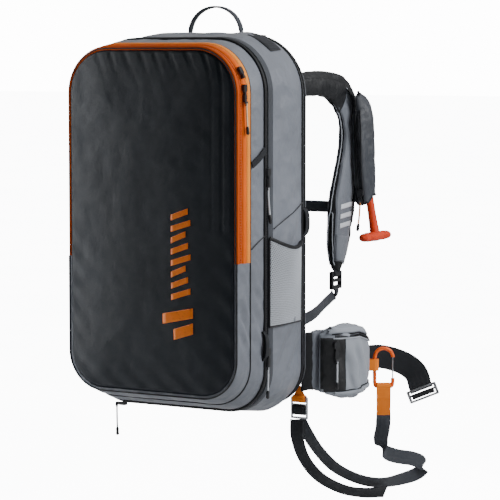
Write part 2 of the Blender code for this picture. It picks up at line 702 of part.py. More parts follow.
def build_leg_loop():
    width = 0.023
    strap("leg_strap", LEG_ROUTE, LEG_ACROSS, width, "webbing_dark", 0.0018, 3)
    strap("leg_strap_tail", TAIL_ROUTE, TAIL_ACROSS, width, "webbing_dark", 0.0018, 3)
    frame = block("leg_adjuster", (0.1185, -0.0065, -0.2945), (0.1475, -0.0025, -0.2610), "alloy", 0.0010)
    for number, (low, high) in enumerate(((-0.2915, -0.2835), (-0.2810, -0.2740), (-0.2715, -0.2640))):
        tool = block(f"cutter_adjuster_{number}", (0.1210, -0.02, low), (0.1450, 0.02, high), "alloy", 0)
        change(frame, tool, "DIFFERENCE")
    band("leg_tab", [((0.1315, -0.0045, -0.2440), (0.1345, -0.0045, -0.2440)),
                     ((0.1230, -0.0045, -0.2600), (0.1430, -0.0045, -0.2600))],
         0.0020, "orange_webbing", 1)


# ---------------------------------------------------------------- zip sliders and small loops

def build_slider(name, at, outward, down, look="plastic_black", tab=0.016):
    """Zip slider with its pull tab hanging along the track."""
    at, outward, down = Vector(at), Vector(outward).normalized(), Vector(down).normalized()
    side = outward.cross(down).normalized()
    body = 0.0115
    shape = ((0.0, 0.0030), (0.0025, 0.0045), (0.0085, 0.0045), (body, 0.0022),
             (body + 0.002, 0.0020), (body + 0.004, 0.0030), (body + tab, 0.0030))
    edges = [(at + down * d - side * w, at + down * d + side * w) for d, w in shape]
    return band(name, edges, 0.0042, look, 1, origin=at)


def build_pull(name, start, length, lean=(0, 0, 0)):
    """Cord pull that hangs from a slider's tab, with a moulded grip at its end."""
    start, lean = Vector(start), Vector(lean)
    route = []
    for share in (0.0, 0.25, 0.5, 0.72, 0.80, 1.0):
        route.append(start + Vector((0, 0, -length * share)) + lean * share ** 2)
    cord(name, route, (0.0011, 0.0011, 0.0011, 0.0011, 0.0024, 0.0020), "plastic_black", 3)


def build_sliders():
    side = section(ZIP_Y)[0]
    clear = 0.0042
    track = -0.196
    build_slider("front_slider_lower", (HALF_WIDTH + clear, track, 0.214), (1, 0, 0), (0, 0, -1), tab=0.014)
    half, _, top, radius, _ = section(track)
    corner = Vector((half - radius, track, top - radius))
    turn = Matrix.Rotation(math.radians(-27), 3, "Y")
    spot = corner + turn @ Vector((radius + clear, 0, 0.006))
    build_slider("front_slider_upper", spot, turn @ Vector((1, 0, 0)), turn @ Vector((0, 0, -1)), tab=0.006)
    build_slider("main_slider_upper", (side + clear + 0.001, ZIP_Y, 0.092), (1, 0, 0), (0, 0, -1))
    build_slider("main_slider_lower", (side + clear + 0.001, ZIP_Y, -0.170), (1, 0, 0), (0, 0, -1))
    build_slider("bottom_slider", (-0.093, ZIP_Y, section(ZIP_Y)[1] - clear - 0.001), (0, 0, -1), (-1, 0, 0),
                 tab=0.006)
    build_slider("hip_pocket_slider", (0.1846, 0.0180, -0.176), (0.818, -0.575, 0), (0, 0, -1), tab=0.020)
    build_slider("sleeve_slider", (0.1365, 0.1868, 0.044), (0.2, -1, 0), (0, 0, -1), tab=0.010)
    build_pull("main_pull_upper", (side + clear + 0.001, ZIP_Y, 0.0640), 0.052, (0.002, 0.004, 0))
    build_pull("main_pull_lower", (side + clear + 0.001, ZIP_Y, -0.1980), 0.046, (-0.001, 0, 0))
    build_pull("bottom_pull", (-0.1100, ZIP_Y, section(ZIP_Y)[1] - clear - 0.0034), 0.046, (0.001, 0, 0))


def build_all():
    clear_scene()
    build_bag()
    build_side_pocket()
    build_air_inlet()
    build_haul_loop()
    build_airbag_system()
    for side, word in ((1, "right"), (-1, "left")):
        build_shoulder_strap(side, word)
        build_hip_wing(side, word)
        build_hip_buckle(side, word)
    build_trigger()
    build_sternum_strap()
    build_hip_pocket()
    build_carabiner()
    build_leg_sleeve()
    build_belt_loop()
    build_leg_loop()
    build_sliders()


build_all()
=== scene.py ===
"""Looks of the avalanche airbag backpack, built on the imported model.

Metres, +Z up. The wearer faces +Y and the bag's outer face looks to -Y. +X is the wearer's right.
"""
import math

import bmesh
import bpy
from mathutils import Euler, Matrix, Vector, noise
from mathutils.bvhtree import BVHTree


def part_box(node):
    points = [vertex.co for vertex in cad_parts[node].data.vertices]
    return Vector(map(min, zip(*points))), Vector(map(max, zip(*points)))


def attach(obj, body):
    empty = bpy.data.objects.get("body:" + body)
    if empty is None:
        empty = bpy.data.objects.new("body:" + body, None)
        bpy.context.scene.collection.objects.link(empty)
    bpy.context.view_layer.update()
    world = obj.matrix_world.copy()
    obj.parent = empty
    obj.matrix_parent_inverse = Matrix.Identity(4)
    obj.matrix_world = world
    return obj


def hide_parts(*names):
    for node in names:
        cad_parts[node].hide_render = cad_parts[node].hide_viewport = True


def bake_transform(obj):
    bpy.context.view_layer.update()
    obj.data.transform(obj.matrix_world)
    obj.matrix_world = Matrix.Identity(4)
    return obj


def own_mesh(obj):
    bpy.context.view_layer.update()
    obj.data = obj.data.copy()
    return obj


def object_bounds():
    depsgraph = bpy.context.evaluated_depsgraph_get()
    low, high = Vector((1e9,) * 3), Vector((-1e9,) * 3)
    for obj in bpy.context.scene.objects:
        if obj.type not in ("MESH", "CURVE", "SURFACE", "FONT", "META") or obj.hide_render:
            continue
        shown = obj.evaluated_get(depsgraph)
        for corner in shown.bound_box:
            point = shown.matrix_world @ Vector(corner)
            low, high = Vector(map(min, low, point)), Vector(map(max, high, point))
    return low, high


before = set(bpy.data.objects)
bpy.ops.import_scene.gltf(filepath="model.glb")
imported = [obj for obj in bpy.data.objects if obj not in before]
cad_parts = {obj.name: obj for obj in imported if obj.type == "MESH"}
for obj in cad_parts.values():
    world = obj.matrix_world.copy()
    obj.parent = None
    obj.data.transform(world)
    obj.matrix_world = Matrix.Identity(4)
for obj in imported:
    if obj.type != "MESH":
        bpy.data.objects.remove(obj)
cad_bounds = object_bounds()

SHELL = 0.004           # wall of the bag
UP = Vector((0, 0, 1))

# Cross-sections of the bag from front to rear: depth, half width, bottom, top, corner radii.
STATIONS = (
    (-0.215, 0.144, -0.239, 0.266, 0.067, 0.058),
    (-0.178, 0.1465, -0.252, 0.272, 0.071, 0.060),
    (-0.138, 0.1490, -0.266, 0.278, 0.078, 0.062),
    (-0.060, 0.1510, -0.273, 0.286, 0.084, 0.064),
    (-0.012, 0.1470, -0.269, 0.283, 0.088, 0.060),
)
FRONT_Y = STATIONS[0][0]
GUSSET_Y = STATIONS[1][0]
ZIP_Y = STATIONS[2][0]
REAR_Y = STATIONS[4][0]
FLAP_Z = -0.042         # the front zip ends and the front flap folds here
PANEL_INSET = 0.003     # the front panel stops this far inside the bag's outline
CROWN = 0.0085          # how far the front panel bulges
CORNER_STEPS = 20
SIDE_STEPS = 90
CORD_RADIUS = 0.0014    # a zip's cord pull
KNOT_SIZE = 0.0011      # the small trefoil knot that ties a pull to its slider
BAND_START = FRONT_Y + SHELL + 0.0005
BACKDROP = 14.0         # brightness of the backdrop, as the camera sees it
TOOTH_PITCH = 0.0022    # from one tooth of a small zip to the next
STITCH_PITCH = 0.0036   # from one stitch to the next along the bag's seams
PAD_STITCH_PITCH = 0.0038
STITCH = (0.0026, 0.0005, 0.0005)       # length, width and height of a stitch
THREAD_PERIOD = 0.0011  # two threads of the weave
SIDES = ((1, "right"), (-1, "left"))

# Inner and outer edge of a shoulder pad on the right side, from the back panel to the lower end.
PAD_X = 0.110
PAD_EDGES = (
    ((0.080, -0.0060, 0.181), (0.080, -0.0060, 0.219)),
    ((0.092, 0.050, 0.188), (0.092, 0.048, 0.228)),
    ((0.103, 0.104, 0.190), (0.103, 0.116, 0.231)),
    ((0.108, 0.138, 0.182), (0.108, 0.170, 0.222)),
    ((PAD_X, 0.160, 0.163), (PAD_X, 0.205, 0.193)),
    ((PAD_X, 0.170, 0.137), (PAD_X, 0.222, 0.155)),
    ((PAD_X, 0.167, 0.108), (PAD_X, 0.225, 0.112)),
    ((PAD_X, 0.153, 0.072), (PAD_X, 0.220, 0.066)),
    ((PAD_X, 0.137, 0.030), (PAD_X, 0.208, 0.022)),
    ((PAD_X, 0.133, -0.010), (PAD_X, 0.199, -0.018)),
    ((PAD_X, 0.135, -0.048), (PAD_X, 0.185, -0.056)),
    ((PAD_X, 0.146, -0.080), (PAD_X, 0.166, -0.082)),
)
SLEEVE_X = 0.1335
SLEEVE_PATH = ((SLEEVE_X, 0.186, 0.194), (SLEEVE_X, 0.203, 0.172), (SLEEVE_X, 0.210, 0.140),
               (SLEEVE_X, 0.211, 0.100), (SLEEVE_X, 0.213, 0.066), (SLEEVE_X + 0.001, 0.217, 0.034))

# The leg loop's strap and its second length: middle line and width direction at each point.
LEG_WIDTH = 0.023
LEG_ROUTE = (
    (0.2040, 0.1380, -0.3080), (0.2030, 0.1375, -0.3240), (0.2000, 0.1370, -0.3420),
    (0.2020, 0.1440, -0.3600), (0.2110, 0.1660, -0.3710), (0.2240, 0.1980, -0.3790),
    (0.2310, 0.2180, -0.3880), (0.2300, 0.2230, -0.3990), (0.2230, 0.2130, -0.4070),
    (0.2080, 0.1830, -0.4120), (0.1920, 0.1460, -0.4120), (0.1740, 0.1080, -0.4010),
    (0.1570, 0.0660, -0.3780), (0.1450, 0.0320, -0.3460), (0.1370, 0.0090, -0.3150),
    (0.1330, -0.0030, -0.2955),
)
LEG_ACROSS = (
    (0.87, 0.50, 0.0), (0.90, 0.20, -0.20), (0.80, 0.25, -0.45), (0.30, 0.05, -0.95),
    (0.0, 0.15, -1.0), (0.0, -0.05, -1.0), (-0.10, -0.10, -1.0), (-0.10, -0.10, -1.0),
    (-0.20, -0.20, -1.0), (-0.45, -0.10, -0.90), (-0.70, 0.0, -0.70), (-0.85, 0.0, -0.50),
    (-0.90, 0.10, -0.40), (-0.92, 0.20, -0.30), (-0.95, 0.10, -0.20), (-1.0, 0.0, 0.0),
)
TAIL_ROUTE = (
    (0.1320, -0.0110, -0.2955), (0.1310, -0.0080, -0.3230), (0.1350, 0.0080, -0.3580),
    (0.1470, 0.0360, -0.3900), (0.1660, 0.0780, -0.4140), (0.1850, 0.1180, -0.4240),
    (0.2010, 0.1520, -0.4260),
)
TAIL_ACROSS = (
    (1.0, 0.0, 0.0), (0.95, -0.1, 0.2), (0.92, -0.2, 0.3), (0.90, -0.1, 0.4), (0.85, 0.0, 0.5),
    (0.70, 0.0, 0.7), (0.5, 0.0, 0.85),
)


# ---------------------------------------------------------------- mesh tools

def link_object(name, data, material):
    """Put a new object with one material in the scene."""
    data.materials.append(material)
    made = bpy.data.objects.new(name, data)
    bpy.context.scene.collection.objects.link(made)
    return made


def place(piece, body, stands_for=()):
    """Make a piece move with a body and stand for CAD nodes, which it hides."""
    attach(piece, body)
    if stands_for:
        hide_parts(*stands_for)
    return piece


def mesh_object(name, points, faces, material, sharp=40):
    """Smooth mesh with sharp edges over an angle in degrees."""
    mesh = bpy.data.meshes.new(name)
    mesh.from_pydata([tuple(p) for p in points], [], faces)
    mesh.shade_smooth()
    mesh.set_sharp_from_angle(angle=math.radians(sharp))
    return link_object(name, mesh, material)


def running(points):
    """Distance along a line of points, at each of them."""
    out = [0.0]
    for a, b in zip(points, points[1:]):
        out.append(out[-1] + (b - a).length)
    return out


def grid(name, rows, material, wrap=False, loop=False, caps=False, ends=False, sharp=40):
    """Surface through rows of points. wrap closes each row, loop joins the last row to the first,
    caps fills the first and last row, ends fills the rows' first and last points. UVs are in metres."""
    total, count = len(rows), len(rows[0])
    quads = []
    for i in range(total if loop else total - 1):
        for j in range(count if wrap else count - 1):
            quads.append((i, j))
    faces = []
    for i, j in quads:
        k, m = (i + 1) % total, (j + 1) % count
        faces.append((i * count + j, i * count + m, k * count + m, k * count + j))
    if caps:
        faces.append(tuple(range(count)))
        faces.append(tuple(range((total - 1) * count, total * count)))
    if ends:
        faces.append(tuple(i * count for i in range(total)))
        faces.append(tuple(i * count + count - 1 for i in range(total)))
    made = mesh_object(name, [p for row in rows for p in row], faces, material, sharp)
    middle = rows[total // 2]
    across = running([*middle, middle[0]])
    along = running([*[row[count // 2] for row in rows], rows[0][count // 2]])
    layer = made.data.uv_layers.new(name="metres")
    for (i, j), polygon in zip(quads, made.data.polygons):
        spots = ((i, j), (i, j + 1), (i + 1, j + 1), (i + 1, j))
        for index, (a, b) in zip(polygon.loop_indices, spots):
            layer.data[index].uv = (across[b], along[a])
    if caps or ends or (wrap and loop):
        face_out(made)
    return made


def face_out(piece):
    """Turn a closed mesh's faces outward."""
    bm = bmesh.new()
    bm.from_mesh(piece.data)
    bmesh.ops.recalc_face_normals(bm, faces=bm.faces)
    if bm.calc_volume(signed=True) < 0:
        bmesh.ops.reverse_faces(bm, faces=bm.faces)
    bm.to_mesh(piece.data)
    bm.free()


def smooth_points(points, per):
    """Catmull-Rom curve through the points, with a number of steps in each span."""
    points = [Vector(p) for p in points]
    line = [points[0] * 2 - points[1], *points, points[-1] * 2 - points[-2]]
    out = []
    for i in range(1, len(line) - 2):
        a, b, c, d = line[i - 1:i + 3]
        for step in range(per):
            t = step / per
            out.append(0.5 * ((2 * b) + (c - a) * t + (2 * a - 5 * b + 4 * c - d) * t ** 2
                              + (3 * b - a - 3 * c + d) * t ** 3))
    out.append(points[-1])
    return out


def tube(name, points, radius, material, cyclic=False, sides=3):
    """Round cord or piping along a line of points; radius is a number or one for each point."""
    curve = bpy.data.curves.new(name, "CURVE")
    curve.dimensions = "3D"
    curve.bevel_depth = 1.0
    curve.bevel_resolution = sides
    curve.use_fill_caps = True
    spline = curve.splines.new("POLY")
    spline.use_cyclic_u = cyclic
    spline.points.add(len(points) - 1)
    for i, point in enumerate(points):
        spline.points[i].co = (*point, 1.0)
        spline.points[i].radius = radius[i] if isinstance(radius, list) else radius
    return link_object(name, curve, material)


def band_section(chamfer, corner):
    """Strap section with chamfered edges, as shares of half its width and half its thickness."""
    half = ((-1, chamfer), (-corner, 1), (corner, 1), (1, chamfer))
    return (*half, *[(-u, -v) for u, v in half])


def webbing(name, middle, across, width, material, thickness=0.0018, per=6):
    """Flat woven strap: a thin section with rounded edges, swept along a line."""
    line = smooth_points(middle, per)
    sides = smooth_points([Vector(a).normalized() for a in across], per)
    half, thin = width / 2, thickness / 2
    section_points = ((-1.0, 0.3), (-0.965, 1.0), (-0.5, 0.86), (0.0, 0.82), (0.5, 0.86), (0.965, 1.0),
                      (1.0, 0.3), (1.0, -0.3), (0.965, -1.0), (0.5, -0.86), (0.0, -0.82), (-0.5, -0.86),
                      (-0.965, -1.0), (-1.0, -0.3))
    rows = []
    for i, (point, side) in enumerate(zip(line, sides)):
        along = line[min(i + 1, len(line) - 1)] - line[max(i - 1, 0)]
        side = side.normalized()
        normal = along.cross(side).normalized()
        side = normal.cross(along).normalized()
        rows.append([point + side * half * u + normal * thin * v for u, v in section_points])
    made = grid(name, rows, material, wrap=True, caps=True)
    return made, line


def scatter(name, spots, size, material, shape="stitch"):
    """Many small equal pieces as one mesh: each spot is a point, a direction and an outward normal."""
    long, wide, high = size
    if shape == "stitch":
        corners = ((-1, 0, 0), (0, -1, 0), (0, 0, 1), (0, 1, 0), (0, 0, -1), (1, 0, 0))
        faces = ((0, 1, 2), (0, 2, 3), (0, 3, 4), (0, 4, 1), (5, 2, 1), (5, 3, 2), (5, 4, 3), (5, 1, 4))
    else:
        corners = ((-1, -1, -1), (1, -1, -1), (1, 1, -1), (-1, 1, -1),
                   (-0.8, -0.8, 1), (0.8, -0.8, 1), (0.8, 0.8, 1), (-0.8, 0.8, 1))
        faces = ((3, 2, 1, 0), (4, 5, 6, 7), (0, 1, 5, 4), (1, 2, 6, 5), (2, 3, 7, 6), (3, 0, 4, 7))
    points = []
    found = []
    for place_at, along, out in spots:
        along = along.normalized()
        side = out.cross(along).normalized()
        out = along.cross(side).normalized()
        first = len(points)
        for a, b, c in corners:
            points.append(place_at + along * a * long / 2 + side * b * wide / 2 + out * c * high / 2)
        found += [tuple(first + i for i in face) for face in faces]
    return mesh_object(name, points, found, material)


def along_line(points, outs, pitch, lift=0.0):
    """Evenly spaced spots on a line with an outward normal for each of its points."""
    far = running(points)
    spots = []
    index = 0
    for step in range(int(far[-1] / pitch)):
        at = (step + 0.5) * pitch
        while far[index + 1] < at:
            index += 1
        share = (at - far[index]) / (far[index + 1] - far[index])
        out = outs[index].lerp(outs[index + 1], share).normalized()
        spots.append((points[index].lerp(points[index + 1], share) + out * lift,
                      points[index + 1] - points[index], out))
    return spots


def dotted(name, line, pitch, size, look, body, shape="stitch"):
    """Row of stitches or zip teeth along a line given as its points and outward normals."""
    points, outs = line
    return place(scatter(name, along_line(points, outs, pitch), size, LOOK[look], shape), body)


def bake(piece):
    """Turn a piece's modifiers into its mesh."""
    bpy.context.view_layer.update()
    seen = piece.evaluated_get(bpy.context.evaluated_depsgraph_get())
    mesh = bpy.data.meshes.new_from_object(seen)
    piece.modifiers.clear()
    piece.data = mesh
    mesh.shade_smooth()
    return piece


def thicken(piece, thickness, offset=-1.0):
    """Give an open sheet a thickness: against its normals, along them (1) or both ways (0)."""
    thick = piece.modifiers.new("thickness", "SOLIDIFY")
    thick.thickness = thickness
    thick.offset = offset
    return bake(piece)


def tree_of(piece):
    """Search tree of a piece's faces, to lay other pieces on it."""
    bpy.context.view_layer.update()
    return BVHTree.FromObject(piece, bpy.context.evaluated_depsgraph_get())


def drape(points, tree, towards, lift):
    """Move points along a direction onto a surface, then lift them off it."""
    towards = Vector(towards).normalized()
    out = []
    normals = []
    for point in points:
        hit, normal, _, _ = tree.ray_cast(point - towards * 0.1, towards)
        if hit is None:
            hit, normal, _, _ = tree.find_nearest(point)
        if normal.dot(towards) > 0:
            normal = -normal
        out.append(hit + normal * lift)
        normals.append(normal)
    return out, normals


def rumple(point, size, seed):
    """Smooth noise from -1 to 1 at a point, for soft folds of a given size."""
    return noise.noise(point / size + Vector((seed, 0.0, 0.0)))


# ---------------------------------------------------------------- materials

def node(tree, kind, inputs=None, **settings):
    """Shader node with its inputs set to numbers or linked to sockets."""
    made = tree.nodes.new("ShaderNode" + kind)
    for key, value in settings.items():
        setattr(made, key, value)
    for key, value in (inputs or {}).items():
        if isinstance(value, bpy.types.NodeSocket):
            tree.links.new(value, made.inputs[key])
        else:
            made.inputs[key].default_value = value
    return made


def blank(name, **values):
    """New material with a Principled shader; values are named with underscores for spaces."""
    made = bpy.data.materials.new(name)
    made.use_nodes = True
    tree = made.node_tree
    shader = tree.nodes["Principled BSDF"]
    for key, value in values.items():
        shader.inputs[key.replace("_", " ")].default_value = value
    return made, tree, shader


def shade(colour, factor):
    """Colour made darker or lighter, with its alpha."""
    return (*[min(1.0, c * factor) for c in colour], 1.0)


def product(tree, a, b):
    return node(tree, "Math", {0: a, 1: b}, operation="MULTIPLY").outputs[0]


def total(tree, a, b):
    return node(tree, "Math", {0: a, 1: b}, operation="ADD").outputs[0]


def waves(tree, value, period):
    """Sine of a value, with a period in metres."""
    turned = product(tree, value, math.tau / period)
    return node(tree, "Math", {0: turned}, operation="SINE").outputs[0]


def mix_colours(tree, factor, a, b):
    made = tree.nodes.new("ShaderNodeMix")
    made.data_type = "RGBA"
    for socket, value in ((made.inputs[0], factor), (made.inputs[6], a), (made.inputs[7], b)):
        if isinstance(value, bpy.types.NodeSocket):
            tree.links.new(value, socket)
        else:
            socket.default_value = value
    return made.outputs[2]


def wander(tree, coords, scale, detail=3.0, low=0.3, high=0.7):
    """Noise from place to place, spread to run from 0 to 1."""
    made = node(tree, "TexNoise", {"Vector": coords, "Scale": scale, "Detail": detail})
    spread = node(tree, "MapRange", {"Value": made.outputs["Fac"], "From Min": low, "From Max": high})
    return spread.outputs["Result"]


def wire(tree, shader, base, bump, rough=None):
    """Link a colour, a bump node and, if given, a roughness node to the shader."""
    tree.links.new(base, shader.inputs["Base Color"])
    tree.links.new(bump.outputs["Normal"], shader.inputs["Normal"])
    if rough:
        tree.links.new(rough.outputs[0], shader.inputs["Roughness"])


def fabric(name, colour, rough=0.62, sheen=0.25, thread=THREAD_PERIOD, weave=0.00010, fold=0.0010,
           fold_scale=26.0, flat=False, ribs=0.0, gloss=0.4):
    """Woven cloth: crossing threads, small folds, a wandering colour and a soft sheen.
    flat takes the weave from the UVs in metres, ribs adds the slanted ribs of webbing."""
    made, tree, shader = blank(name, Sheen_Weight=sheen, Sheen_Roughness=0.4, Specular_IOR_Level=gloss)
    where = node(tree, "TexCoord")
    solid = where.outputs["Object"]
    parts = node(tree, "SeparateXYZ", {"Vector": where.outputs["UV"] if flat else solid})
    x, y, z = parts.outputs
    if flat:
        threads = product(tree, waves(tree, x, thread), waves(tree, y, thread))
    else:
        threads = product(tree, waves(tree, total(tree, x, y), thread), waves(tree, z, thread))
    if ribs:
        slant = total(tree, y, product(tree, waves(tree, x, ribs * 4), ribs * 0.4))
        threads = total(tree, product(tree, waves(tree, slant, ribs), 2.0), threads)
    dye = wander(tree, solid, 9.0)
    base = mix_colours(tree, dye, shade(colour, 0.86), shade(colour, 1.14))
    crossing = node(tree, "MapRange", {"Value": threads, "From Min": -1.0, "From Max": 1.0})
    base = mix_colours(tree, product(tree, crossing.outputs[0], 0.35), base, shade(colour, 0.55))
    worn = wander(tree, solid, 40.0)
    roughness = node(tree, "MapRange", {"Value": worn, "To Min": rough - 0.07, "To Max": rough + 0.10})
    soft = wander(tree, solid, fold_scale, 2.0)
    folds = node(tree, "Bump", {"Strength": 0.7, "Distance": fold, "Height": soft})
    fine = node(tree, "Bump", {"Strength": 0.6, "Distance": weave, "Height": threads,
                               "Normal": folds.outputs["Normal"]})
    wire(tree, shader, base, fine, roughness)
    return made


def plastic(name, colour, rough=0.38, grain=0.00004, coat=0.0):
    """Moulded plastic: fine grain, a wandering gloss and faint scuffs."""
    made, tree, shader = blank(name, Coat_Weight=coat, Coat_Roughness=0.2)
    solid = node(tree, "TexCoord").outputs["Object"]
    scuffs = wander(tree, solid, 160.0, 6.0, 0.45, 0.75)
    base = mix_colours(tree, scuffs, shade(colour, 0.94), shade(colour, 1.25))
    spread = node(tree, "MapRange", {"Value": scuffs, "To Min": rough, "To Max": rough + 0.16})
    grains = node(tree, "TexNoise", {"Vector": solid, "Scale": 1500.0, "Detail": 2.0})
    bump = node(tree, "Bump", {"Strength": 0.5, "Distance": grain, "Height": grains.outputs["Fac"]})
    wire(tree, shader, base, bump, spread)
    return made


def metal(name, colour, rough=0.28, metallic=1.0):
    """Anodised or tumbled metal with fine scratches and duller worn spots."""
    made, tree, shader = blank(name, Metallic=metallic)
    solid = node(tree, "TexCoord").outputs["Object"]
    stretched = node(tree, "Mapping", {"Vector": solid, "Scale": (900.0, 900.0, 60.0)})
    scratches = node(tree, "TexNoise", {"Vector": stretched.outputs[0], "Scale": 1.0, "Detail": 3.0})
    dull = wander(tree, solid, 90.0, 4.0)
    base = mix_colours(tree, dull, shade(colour, 0.85), shade(colour, 1.05))
    spread = node(tree, "MapRange", {"Value": dull, "To Min": rough, "To Max": rough + 0.15})
    bump = node(tree, "Bump", {"Strength": 0.4, "Distance": 0.00003, "Height": scratches.outputs["Fac"]})
    wire(tree, shader, base, bump, spread)
    return made


def knit(name, colour, cell=0.0028, depth=0.0006):
    """Spacer mesh or knit: rows of small dark holes between raised threads."""
    made, tree, shader = blank(name, Roughness=0.75, Sheen_Weight=0.05, Specular_IOR_Level=0.25)
    where = node(tree, "TexCoord")
    solid = where.outputs["Object"]
    x, y, z = node(tree, "SeparateXYZ", {"Vector": solid}).outputs
    level = total(tree, x, y)
    holes = product(tree, waves(tree, total(tree, level, z), cell * 1.4),
                    waves(tree, total(tree, level, product(tree, z, -1.0)), cell * 1.4))
    open_part = node(tree, "MapRange", {"Value": holes, "From Min": 0.1, "From Max": 0.6})
    dye = wander(tree, solid, 30.0)
    base = mix_colours(tree, dye, shade(colour, 0.85), shade(colour, 1.2))
    base = mix_colours(tree, open_part.outputs[0], base, shade(colour, 0.25))
    bump = node(tree, "Bump", {"Strength": 0.8, "Distance": depth, "Height": open_part.outputs[0]},
                invert=True)
    wire(tree, shader, base, bump)
    return made


def screen_print(name, colour):
    """Screen print on cloth: a thin glossy ink film that follows the weave, with pinholes."""
    made, tree, shader = blank(name, Specular_IOR_Level=0.4, Roughness=0.42)
    solid = node(tree, "TexCoord").outputs["Object"]
    x, _, z = node(tree, "SeparateXYZ", {"Vector": solid}).outputs
    threads = product(tree, waves(tree, x, THREAD_PERIOD), waves(tree, z, THREAD_PERIOD))
    tone = node(tree, "MapRange", {"Value": z, "From Min": -0.20, "From Max": 0.02,
                                   "To Min": 0.0, "To Max": 0.5})
    base = mix_colours(tree, tone.outputs[0], shade(colour, 1.1), shade(colour, 0.85))
    base = mix_colours(tree, wander(tree, solid, 300.0, 2.0, 0.55, 0.9), base, shade(colour, 0.6))
    bump = node(tree, "Bump", {"Strength": 0.5, "Distance": 0.00006, "Height": threads})
    wire(tree, shader, base, bump)
    return made


BAND_CLOTH = {"rough": 0.6, "fold": 0.0002, "sheen": 0.0, "gloss": 0.15}
WEBBING = {"ribs": 0.0018, "flat": True, "fold": 0.0003, "weave": 0.00016, "sheen": 0.05}
THREAD = {"rough": 0.6, "weave": 0.00002, "fold": 0.00005}
CORD = {"rough": 0.6, "thread": 0.0008, "fold": 0.0001}
LOOK = {
    "front": fabric("front_cloth", (0.013, 0.018, 0.026), rough=0.46, sheen=0.0, fold=0.0006, gloss=0.28),
    # side: the front's fabric again, its base colour painted much lighter to stand in for the key light on
    # the sides (painted light)
    "side": fabric("side_cloth_painted_light", (0.172, 0.188, 0.222), rough=0.45, sheen=0.1, fold=0.0060,
                   fold_scale=24, gloss=0.5),
    "band": fabric("rain_flap_cloth", (0.052, 0.058, 0.070), rough=0.5, fold=0.0008, sheen=0.05, gloss=0.3),
    # pocket: the side cloth again, its base colour painted lighter to stand in for light on the hip pocket,
    # which faces away from the lamps (painted light)
    "pocket": fabric("pocket_cloth_painted_light", (0.34, 0.37, 0.42), rough=0.45, sheen=0.1, fold=0.0016, fold_scale=30),
    "liner": fabric("liner_cloth", (0.10, 0.115, 0.14), rough=0.6, sheen=0.1),
    "piping": fabric("piping_cloth", (0.005, 0.006, 0.008), rough=0.5, weave=0.00005, fold=0.0001,
                     sheen=0.0),
    "orange_deep": fabric("orange_deep_cloth", (0.60, 0.085, 0.004), **BAND_CLOTH),
    "orange_mid": fabric("orange_mid_cloth", (0.80, 0.135, 0.006), **BAND_CLOTH),
    "orange_pale": fabric("orange_pale_cloth", (1.0, 0.30, 0.035), **BAND_CLOTH),
    "orange_web": fabric("orange_webbing", (1.0, 0.235, 0.020), rough=0.65, ribs=0.0016, flat=True,
                         fold=0.0002, weave=0.00014, sheen=0.0, gloss=0.15),
    "web": fabric("dark_webbing", (0.008, 0.010, 0.014), rough=0.55, gloss=0.3, **WEBBING),
    "web_grey": fabric("grey_webbing", (0.040, 0.046, 0.058), rough=0.48, **WEBBING),
    "pad_face": fabric("pad_face_cloth", (0.155, 0.170, 0.200), rough=0.5, fold=0.0020, fold_scale=40),
    "pad_dark": knit("pad_mesh", (0.006, 0.007, 0.009), 0.0024, 0.0004),
    "pad_pale": fabric("pad_pale_cloth", (0.17, 0.185, 0.215), rough=0.6, fold=0.0016, fold_scale=34),
    "sleeve": fabric("sleeve_cloth", (0.030, 0.036, 0.048), rough=0.42, fold=0.0020, fold_scale=34,
                     gloss=0.6),
    "sleeve_dark": fabric("sleeve_dark_cloth", (0.0050, 0.0060, 0.0080), rough=0.46, fold=0.0026,
                          fold_scale=46, sheen=0.0, gloss=0.5),
    "back_mesh": knit("back_mesh", (0.030, 0.033, 0.040), 0.0036, 0.0009),
    "reflective": fabric("reflective_tape", (0.72, 0.75, 0.80), rough=0.35, fold=0.0001),
    "net": fabric("pocket_net", (0.58, 0.62, 0.68), rough=0.6, weave=0.00005, fold=0.0001),
    "thread": fabric("thread_dark", (0.012, 0.013, 0.017), **THREAD),
    "thread_pale": fabric("thread_pale", (0.42, 0.45, 0.50), **THREAD),
    "cord_pale": fabric("cord_pale", (0.62, 0.65, 0.70), **CORD),
    "cord_cream": fabric("cord_cream", (0.90, 0.62, 0.36), **CORD),
    "cord_orange": fabric("cord_orange", (0.85, 0.30, 0.05), **CORD),
    "airbag": fabric("airbag_cloth", (0.55, 0.06, 0.03), rough=0.6, fold=0.002, fold_scale=18),
    "black": plastic("moulded_black", (0.012, 0.013, 0.015), 0.36),
    "teeth": plastic("zip_teeth", (0.010, 0.011, 0.013), 0.3),
    "teeth_orange": plastic("zip_teeth_orange", (0.50, 0.10, 0.015), 0.35),
    "handle": plastic("handle_orange", (0.66, 0.042, 0.002), 0.5),
    "print": screen_print("print_orange", (1.0, 0.20, 0.005)),
    "alloy": metal("alloy_satin", (0.50, 0.52, 0.55), 0.26),
    "alloy_orange": metal("alloy_orange_anodised", (1.0, 0.13, 0.004), 0.36, 0.15),
}


# ---------------------------------------------------------------- camera, light and floor

def aim(item, target):
    item.rotation_euler = (Vector(target) - item.location).to_track_quat("-Z", "Y").to_euler()


def build_camera():
    azimuth, elevation, distance = math.radians(30), math.radians(5), 3.4
    target = Vector((0.0768, -0.0572, -0.036))
    data = bpy.data.cameras.new("camera")
    data.lens = 163.2
    data.sensor_width = 36.0
    camera = bpy.data.objects.new("camera", data)
    bpy.context.scene.collection.objects.link(camera)
    away = Vector((math.sin(azimuth) * math.cos(elevation), -math.cos(azimuth) * math.cos(elevation),
                   math.sin(elevation)))
    camera.location = target + away * distance
    aim(camera, target)
    bpy.context.scene.camera = camera


def area_light(name, at, target, energy, size, colour=(1, 1, 1)):
    data = bpy.data.lights.new(name, "AREA")
    data.energy = energy
    data.shape = "RECTANGLE"
    data.size, data.size_y = size
    data.color = colour
    made = bpy.data.objects.new(name, data)
    made.location = at
    bpy.context.scene.collection.objects.link(made)
    aim(made, target)


